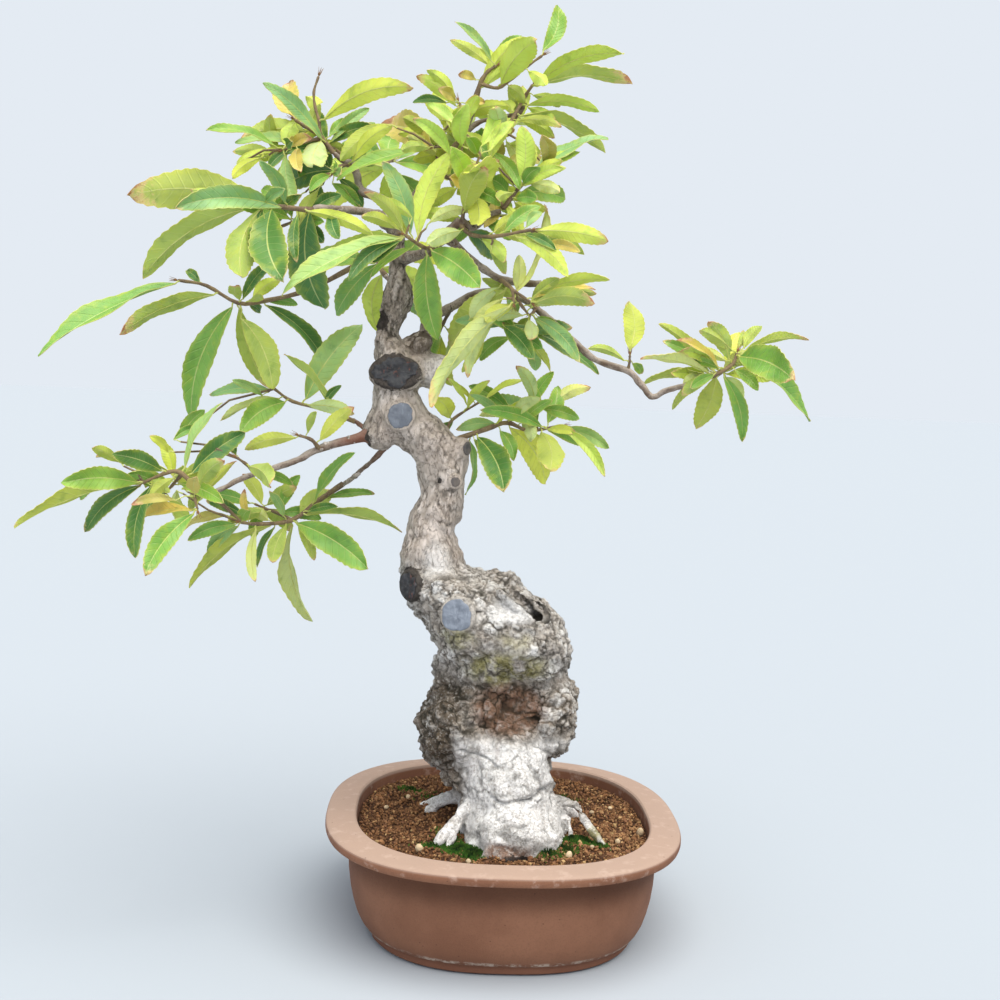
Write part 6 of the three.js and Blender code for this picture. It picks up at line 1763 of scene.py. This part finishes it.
def blade_points(leaf, u, v):
    """The blade's surface: u runs from its base to its tip and v from edge to edge."""
    seed = leaf["seed"]
    fold = 0.22 + 0.3 * draw_between(seed + 0.5)
    wave_phase = 6.3 * draw_between(seed + 0.9)
    rib, face, side = blade_frame(leaf, u)
    out = np.abs(v)
    sign = np.sign(v)
    tooth = (u * TEETH * (1 + 1 / (BLADE_ROWS - 1))) % 1
    point = np.where(tooth < 0.7, tooth / 0.7, (1 - tooth) / 0.3) - 0.55
    saw = 1 + TOOTH_DEPTH * point * step_between(u, 0.1, 0.3)
    # Between a lance and a strap: the strap keeps its width almost to its blunt tip.
    lance = np.maximum(np.sin(math.pi * np.clip(u, 0, 1) ** 0.85), 0) ** 0.72
    rise = np.sin(math.pi / 2 * np.clip(u / 0.55, 0, 1)) ** 0.8
    strap = rise * (1 - np.clip((u - 0.45) / 0.55, 0, 1) ** 2.6) ** 0.62
    blunt = 0.45 + 0.55 * draw_between(seed + 1.3)
    outline = lance * (1 - blunt) + strap * blunt
    toothed = 1 + (saw - 1) * step_between(out, 0.7, 1.0)
    half = np.maximum(FULLNESS * leaf["width"] / 2 * outline * toothed, PETIOLE_RADIUS * (1 - 0.8 * u))
    wave = leaf["width"] * 0.10 * np.sin(wave_phase + u * 11 + sign) * np.minimum(1, u * 5) * out ** 1.6
    cup = out * (1.18 - 0.18 * out)
    height = half * math.sin(fold) * cup + wave
    return rib + side * (sign * half * math.cos(fold) * out)[:, None] + face * height[:, None]


# Leaf colours as the light shows them, from shaded and glossy to backlit and starved, each with how far
# such leaves have browned.
LEAF_TONES = {
    "lime": ("#cfdd5a", 0.3), "green": ("#80ab45", 0.05), "sheen": ("#94b96c", 0.15),
    "dark": ("#527f38", 0.05), "olive": ("#b3c055", 0.4), "amber": ("#cfbb5e", 0.8),
    "singed": ("#a6b352", 0.95), "pale": ("#d0da8d", 0.35), "fresh": ("#c8e266", 0.0),
}


def tint_blade(mesh, leaf):
    """Each leaf keeps its own colour, and how far its tip and edge have browned."""
    seed = leaf["seed"]
    shown, browned = LEAF_TONES[leaf["tone"]]
    colour = np.array(linear(shown))
    sway = draw_between(seed + 2.1) - 0.5
    colour[:3] *= (1 + 0.30 * sway, 1 + 0.12 * sway, 1 - 0.2 * sway)
    tone = mesh.attributes.new("leaf_tone", "FLOAT_COLOR", "POINT")
    tone.data.foreach_set("color", np.tile(colour, (len(mesh.vertices), 1)).astype(np.float32).ravel())
    scorch = max(0.0, browned + 0.9 * (draw_between(seed + 4.7) - 0.6))
    burnt = mesh.attributes.new("scorch", "FLOAT", "POINT")
    burnt.data.foreach_set("value", np.full(len(mesh.vertices), scorch, np.float32))


def copy_mapped(master, name, points):
    mesh = master.data.copy()
    mesh.vertices.foreach_set("co", (points * MM).astype(np.float32).ravel())
    piece = bpy.data.objects.new(name, mesh)
    bpy.context.collection.objects.link(piece)
    return piece


# The master blade is a grid along and across the leaf, and the master stalk a slim tube.
deselect()
bpy.ops.mesh.primitive_grid_add(x_subdivisions=BLADE_ROWS - 1, y_subdivisions=6, size=1, calc_uvs=True)
blade_master = bpy.context.object
blade_shape = np.array([vert.co for vert in blade_master.data.vertices])
BLADE_U = blade_shape[:, 0] + 0.5
BLADE_V = -2 * blade_shape[:, 1]
STALK_RINGS = 10
STALK_SIDES = 6
stalk_turn = np.arange(STALK_SIDES) / STALK_SIDES * 2 * math.pi
stalk_master = raise_skin("stalk_master", [
    np.stack([np.cos(stalk_turn), np.sin(stalk_turn), np.full(STALK_SIDES, float(ring))], axis=1)
    for ring in range(STALK_RINGS)
])
stalk_shape = mesh_points(stalk_master)


def stalk_points(leaf):
    """The stalk and the midrib that carries on from it, standing a little out of both faces."""
    ribs = np.array([0.0, 0.06, 0.18, 0.34, 0.52, 0.70, 0.86, 0.97])
    rib, _, _ = blade_frame(leaf, ribs)
    span = np.linalg.norm(leaf["base"] - leaf["foot"])
    middle = (leaf["foot"] + leaf["base"]) / 2 + leaf["lift"] * 0.12 * span
    path = np.vstack([leaf["foot"], middle, rib])
    size = min(1.0, 0.45 + leaf["length"] / 160)
    radii = np.array([1.25, 0.95, 0.9, 0.7, 0.58, 0.5, 0.44, 0.38, 0.32, 0.22]) * size
    rings = np.array(path_rings(list(path), radii, STALK_SIDES))
    ring = np.rint(stalk_shape[:, 2]).astype(int)
    turn = np.arctan2(stalk_shape[:, 1], stalk_shape[:, 0]) / (2 * math.pi)
    corner = np.rint(turn * STALK_SIDES).astype(int) % STALK_SIDES
    return rings[ring, corner]


# Leaf blade: a waxy skin over soft green tissue, a little quilted between the sunken side veins. The
# underside is felted with fine hair, so it is dull, greyer and paler, and its veins stand out.
def make_blade_finish(name, upper):
    material, shader = new_material(name, roughness=0.45 if upper else 0.8, specular=0.45 if upper else 0.2)
    uv = add_node(material, "UVMap", uv_map="UVMap")
    u = add_node(material, "SeparateXYZ", {0: uv}, "X")
    out = add_node(material, "SeparateXYZ", {0: uv}, "Y")
    out = add_node(material, "Math", {0: out, 1: 0.5}, operation="SUBTRACT")
    out = add_node(material, "Math", {0: out}, operation="ABSOLUTE")
    out = add_node(material, "Math", {0: out, 1: 2.0}, operation="MULTIPLY")
    where = add_node(material, "TexCoord", output="Object")
    tone = add_node(material, "Attribute", output="Color", attribute_name="leaf_tone")
    scorch = add_node(material, "Attribute", output="Fac", attribute_name="scorch")
    # Side veins slant forward from the midrib, one to each tooth.
    beat = add_node(material, "Math", {0: out, 1: -0.12, 2: u}, operation="MULTIPLY_ADD")
    beat = add_node(material, "Math", {0: beat, 1: TEETH * 1.03, 2: 0.72}, operation="MULTIPLY_ADD")
    beat = add_node(material, "Math", {0: beat}, operation="FRACT")
    beat = add_node(material, "Math", {0: beat, 1: 0.5}, operation="SUBTRACT")
    beat = add_node(material, "Math", {0: beat}, operation="ABSOLUTE")
    vein = share_of(material, (beat, 0.38, 0.49))
    patch = add_node(material, "TexNoise", grain_size(where, 15, 4, 0.6))
    fine = add_node(material, "TexNoise", grain_size(where, 2.4, 3, 0.6))

    colour = tone if upper else lay_over(material, tone, "#b3bd80", 0.2)
    colour = lay_over(material, colour, "#c3c644", (patch, 0.5, 0.75), 0.35)
    colour = lay_over(material, colour, "#3d7030", (patch, 0.48, 0.26), 0.35)
    colour = lay_over(material, colour, "#bfc044", (out, 0.6, 1.05), 0.35)
    colour = lay_over(material, colour, "#cdd587", vein, 0.1 if upper else 0.14)
    # The midrib is paler, and so is the thin edge.
    colour = lay_over(material, colour, "#ccd48c", (out, 0.06, 0.02), 0.6)
    colour = lay_over(material, colour, "#d8cd7c", (out, 0.955, 0.995), 0.65)
    # Browning starts at the tip and creeps back along the edges, with a ragged front.
    ragged = add_node(material, "TexNoise", grain_size(where, 7, 4, 0.7))
    ragged = add_node(material, "Math", {0: ragged, 1: 0.5, 2: -0.25}, operation="MULTIPLY_ADD")
    front = add_node(material, "Math", {0: out, 1: 0.10, 2: u}, operation="MULTIPLY_ADD")
    front = add_node(material, "Math", {0: front, 1: ragged}, operation="ADD")
    front = add_node(material, "Math", {0: scorch, 1: 0.28, 2: front}, operation="MULTIPLY_ADD")
    colour = lay_over(material, colour, "#d8bd84", (front, 1.02, 1.16), 0.8)
    colour = lay_over(material, colour, "#b8855f", (front, 1.14, 1.24))
    # Light that falls on one face glows through to the other.
    shader.inputs["Subsurface Weight"].default_value = 0.15 if upper else 0.4
    shader.inputs["Subsurface Radius"].default_value = (0.8, 1.0, 0.25)
    shader.inputs["Subsurface Scale"].default_value = 1.2 * MM
    quilt = share_of(material, vein, -1.0 if upper else 0.8)
    relief = add_node(material, "Math", {0: fine, 1: 0.35, 2: quilt}, operation="MULTIPLY_ADD")
    return close_finish(material, shader, colour, relief, 0.3)


def make_stem_finish(name, thin, thick, speck, roughness):
    material, shader = new_material(name, roughness=roughness, specular=0.35)
    where = add_node(material, "TexCoord", output="Object")
    colour = lay_over(material, thin, thick, patches(material, where, 11, 0.35, 0.65))
    colour = lay_over(material, colour, speck, patches(material, where, 1.4, 0.56, 0.7, 2, 0.7), 0.5)
    relief = add_node(material, "TexNoise", grain_size(where, 1.2))
    return close_finish(material, shader, colour, relief, 0.25)


blade_upper = make_blade_finish("waxy_leaf_face", upper=True)
blade_under = make_blade_finish("felted_leaf_underside", upper=False)
# Leaf stalk: smooth and green, yellow where the sun bleaches it.
stalk_green = make_stem_finish("smooth_leaf_stalk", "#b4bd55", "#cfd07c", "#8d8a45", 0.5)
# Young twig: tight brown skin with pale pores, still greenish in places.
twig_brown = make_stem_finish("young_twig_skin", "#8a7552", "#6d5a46", "#b5a58a", 0.7)
# Bud: overlapping brown scales with a fine down.
bud_brown = make_stem_finish("downy_bud_scales", "#7d5b3c", "#98714a", "#c2a57e", 0.85)


def make_twig(name, first, last, path):
    rows = smooth_rows(path, 4)
    count = len(rows)
    radii = [first + (last - first) * i / (count - 1) + 0.25 * math.sin(i * 1.7) for i in range(count)]
    places = [on_sight(*row) for row in rows]
    # The end closes over in a short point.
    ahead = unit(places[-1] - places[-2])
    places += [places[-1] + ahead * last * 0.8, places[-1] + ahead * last * 1.2]
    radii += [last * 0.7, last * 0.2]
    twig = raise_skin(name, path_rings(places, radii, 8))
    twig.data.materials.append(twig_brown)
    return twig, places[-1], ahead


BUD_SIZE = 1.5
BUD_SIDES = 8
BUD_PROFILE = [(0.35, 0), (0.75, 0.5), (0.9, 1.1), (0.8, 1.7), (0.45, 2.4), (0.1, 2.9)]
BRACT_COUNT = 5
BRACT_LINE = [(0.6, 0.4), (1.1, 2.2), (1.3, 4.0), (1.9, 5.6)]


def make_bud(name, place, ahead, size):
    """An egg-shaped bud with thread-like bracts standing round it."""
    turn = face_turn(ahead)
    angles = np.arange(BUD_SIDES) / BUD_SIDES * 2 * math.pi
    disc = np.stack([np.cos(angles), np.sin(angles), np.zeros(BUD_SIDES)], axis=1)
    rings = [(disc * half + (0, 0, height)) * size @ turn.T + place for half, height in BUD_PROFILE]
    pieces = [raise_skin(name, rings)]
    for i in range(BRACT_COUNT):
        side = np.array((math.cos(i * SPIRAL_STEP), math.sin(i * SPIRAL_STEP), 0.0))
        thread = [side * size * out + (0, 0, size * up) for out, up in BRACT_LINE]
        thread = [point @ turn.T + place for point in thread]
        pieces.append(raise_skin(name, path_rings(thread, [0.3, 0.25, 0.2, 0.1], 5)))
    for piece in pieces:
        piece.data.materials.append(bud_brown)
    return pieces


SIDE_TWIG_REACH = 12.0


def grow_side_twig(leaf):
    """A young leaf that is far from the twigs stands on a thin side twig of its own."""
    reach = leaf["base"] - leaf["foot"]
    length = np.linalg.norm(reach)
    end = leaf["base"] - unit(reach) * PETIOLE_REACH
    bend = leaf["foot"] + reach * 0.4 + leaf["lift"] * 0.1 * length
    path = [leaf["foot"], bend, end, end + unit(reach) * 0.8]
    twig = raise_skin("twig", path_rings(path, [1.3, 1.1, 0.9, 0.3], 8))
    twig.data.materials.append(twig_brown)
    leaf["foot"] = end
    return twig


leaf_count = 0
young_count = 1000
for spray in SPRAYS:
    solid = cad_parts[spray["name"]]
    solid_points = mesh_points(solid)
    blades, wood = [], []
    laid = []
    for row in spray["leaves"]:
        leaf_count += 1
        laid.append(leaf_on_its_solid(spray, row, leaf_count, solid_points))
    young = [(spray, row) for row in spray.get("young", [])]
    shoots = []
    if spray["name"] in HEART_TWIGS:
        path, count, tones = HEART_TWIGS[spray["name"]]
        shoots.append((path, heart_leaves(path, count, tones)))
    if spray["name"] == NEW_SHOOT_SPRAY:
        shoots.append((NEW_SHOOT, NEW_SHOOT_LEAVES))
    for path, rows in shoots:
        wood.append(make_twig("twig", *HEART_TWIG_RADII, path)[0])
        young += [({"twigs": [[*HEART_TWIG_RADII, path]]}, row) for row in rows]
    for place, row in young:
        young_count += 1
        leaf = lay_leaf(place, row, young_count, 0)
        if np.linalg.norm(leaf["base"] - leaf["foot"]) > SIDE_TWIG_REACH:
            wood.append(grow_side_twig(leaf))
        laid.append(leaf)
    for leaf in laid:
        blade = copy_mapped(blade_master, "blade", blade_points(leaf, BLADE_U, BLADE_V))
        tint_blade(blade.data, leaf)
        blade.data.materials.append(blade_upper)
        blade.data.materials.append(blade_under)
        blades.append(blade)
        stalk = copy_mapped(stalk_master, "stalk", stalk_points(leaf))
        stalk.data.materials.append(stalk_green)
        wood.append(stalk)
    for first, last, path in spray["twigs"]:
        twig, end, ahead = make_twig("twig", first, last, path)
        wood.append(twig)
        wood += make_bud("bud", end, ahead, BUD_SIZE)
    leaves = join_pieces(blades, spray["name"] + "_leaves")
    thick = leaves.modifiers.new("blade_thickness", "SOLIDIFY")
    thick.thickness = BLADE_THICKNESS * MM
    thick.offset = 0
    thick.material_offset = 1
    apply_modifiers(leaves)
    leaves = join_pieces([leaves] + wood, spray["name"] + "_leaves")
    shade(leaves, 50)
    finish_piece(leaves, None, "oak_leaf", spray["name"])
bpy.data.objects.remove(blade_master)
bpy.data.objects.remove(stalk_master)


# The view
# A plain pale floor and backdrop in one sweep, soft overhead light through a big diffuser, and the
# camera where the photograph was taken from.

bpy.ops.object.select_all(action="DESELECT")
bpy.ops.mesh.primitive_plane_add(size=60, location=(0, 0, -0.0015))
floor = bpy.context.object
floor.name = "studio_floor"
paper, paper_shader = new_material("matt_studio_paper", roughness=1.0, specular=0.0)
paper_shader.inputs["Base Color"].default_value = linear("#aeb5bc")
floor.data.materials.append(paper)

# The backdrop is a little brighter than the light that it gives, as a lit wall is behind a shaded set.
world = bpy.data.worlds.new("soft_room")
world.use_nodes = True
sky = world.node_tree
room = sky.nodes["Background"]
room.inputs["Color"].default_value = linear("#e6eef8")
room.inputs["Strength"].default_value = 0.68
backdrop = sky.nodes.new("ShaderNodeBackground")
backdrop.inputs["Color"].default_value = linear("#e4ebf3")
seen = sky.nodes.new("ShaderNodeLightPath")
choice = sky.nodes.new("ShaderNodeMixShader")
sky.links.new(seen.outputs["Is Camera Ray"], choice.inputs[0])
sky.links.new(room.outputs[0], choice.inputs[1])
sky.links.new(backdrop.outputs[0], choice.inputs[2])
sky.links.new(choice.outputs[0], sky.nodes["World Output"].inputs["Surface"])
bpy.context.scene.world = world

diffuser = bpy.data.lights.new("overhead_diffuser", "SUN")
diffuser.energy = 4.0
diffuser.angle = math.radians(65)
diffuser.color = linear("#fffaf2")[:3]
lamp = bpy.data.objects.new("overhead_diffuser", diffuser)
lamp.rotation_euler = Vector((-0.22, 0.36, -1.0)).to_track_quat("-Z", "Y").to_euler()
bpy.context.collection.objects.link(lamp)

# A pale wall behind the camera gives a little light back to the front.
fill = bpy.data.lights.new("front_wall", "SUN")
fill.energy = 1.05
fill.angle = math.radians(80)
fill.color = linear("#f4f7ff")[:3]
wall_light = bpy.data.objects.new("front_wall", fill)
wall_light.rotation_euler = Vector((0.45, 1.0, -0.3)).to_track_quat("-Z", "Y").to_euler()
bpy.context.collection.objects.link(wall_light)

CAMERA_DISTANCE = 1.5
CAMERA_HEIGHT = 0.553
CAMERA_BEARING = math.radians(-3.11)
CAMERA_YAW = math.radians(-3.11 + 0.56)
CAMERA_PITCH = math.radians(4.72)
CAMERA_ROLL = math.radians(2.28)
CAMERA_LENS = 53.22

camera_data = bpy.data.cameras.new("photo_camera")
camera_data.lens = CAMERA_LENS
camera_data.sensor_width = 36
camera_data.clip_end = 50
camera = bpy.data.objects.new("photo_camera", camera_data)
bpy.context.collection.objects.link(camera)
forward = Vector((
    -math.sin(CAMERA_YAW) * math.cos(CAMERA_PITCH),
    math.cos(CAMERA_YAW) * math.cos(CAMERA_PITCH),
    -math.sin(CAMERA_PITCH),
))
level = Vector((math.cos(CAMERA_YAW), math.sin(CAMERA_YAW), 0))
upright = level.cross(forward)
right = level * math.cos(CAMERA_ROLL) + upright * math.sin(CAMERA_ROLL)
top = upright * math.cos(CAMERA_ROLL) - level * math.sin(CAMERA_ROLL)
camera.matrix_world = Matrix((
    (right.x, top.x, -forward.x, CAMERA_DISTANCE * math.sin(CAMERA_BEARING)),
    (right.y, top.y, -forward.y, -CAMERA_DISTANCE * math.cos(CAMERA_BEARING)),
    (right.z, top.z, -forward.z, CAMERA_HEIGHT),
    (0, 0, 0, 1),
))
bpy.context.scene.camera = camera
bpy.context.scene.view_settings.view_transform = "Standard"
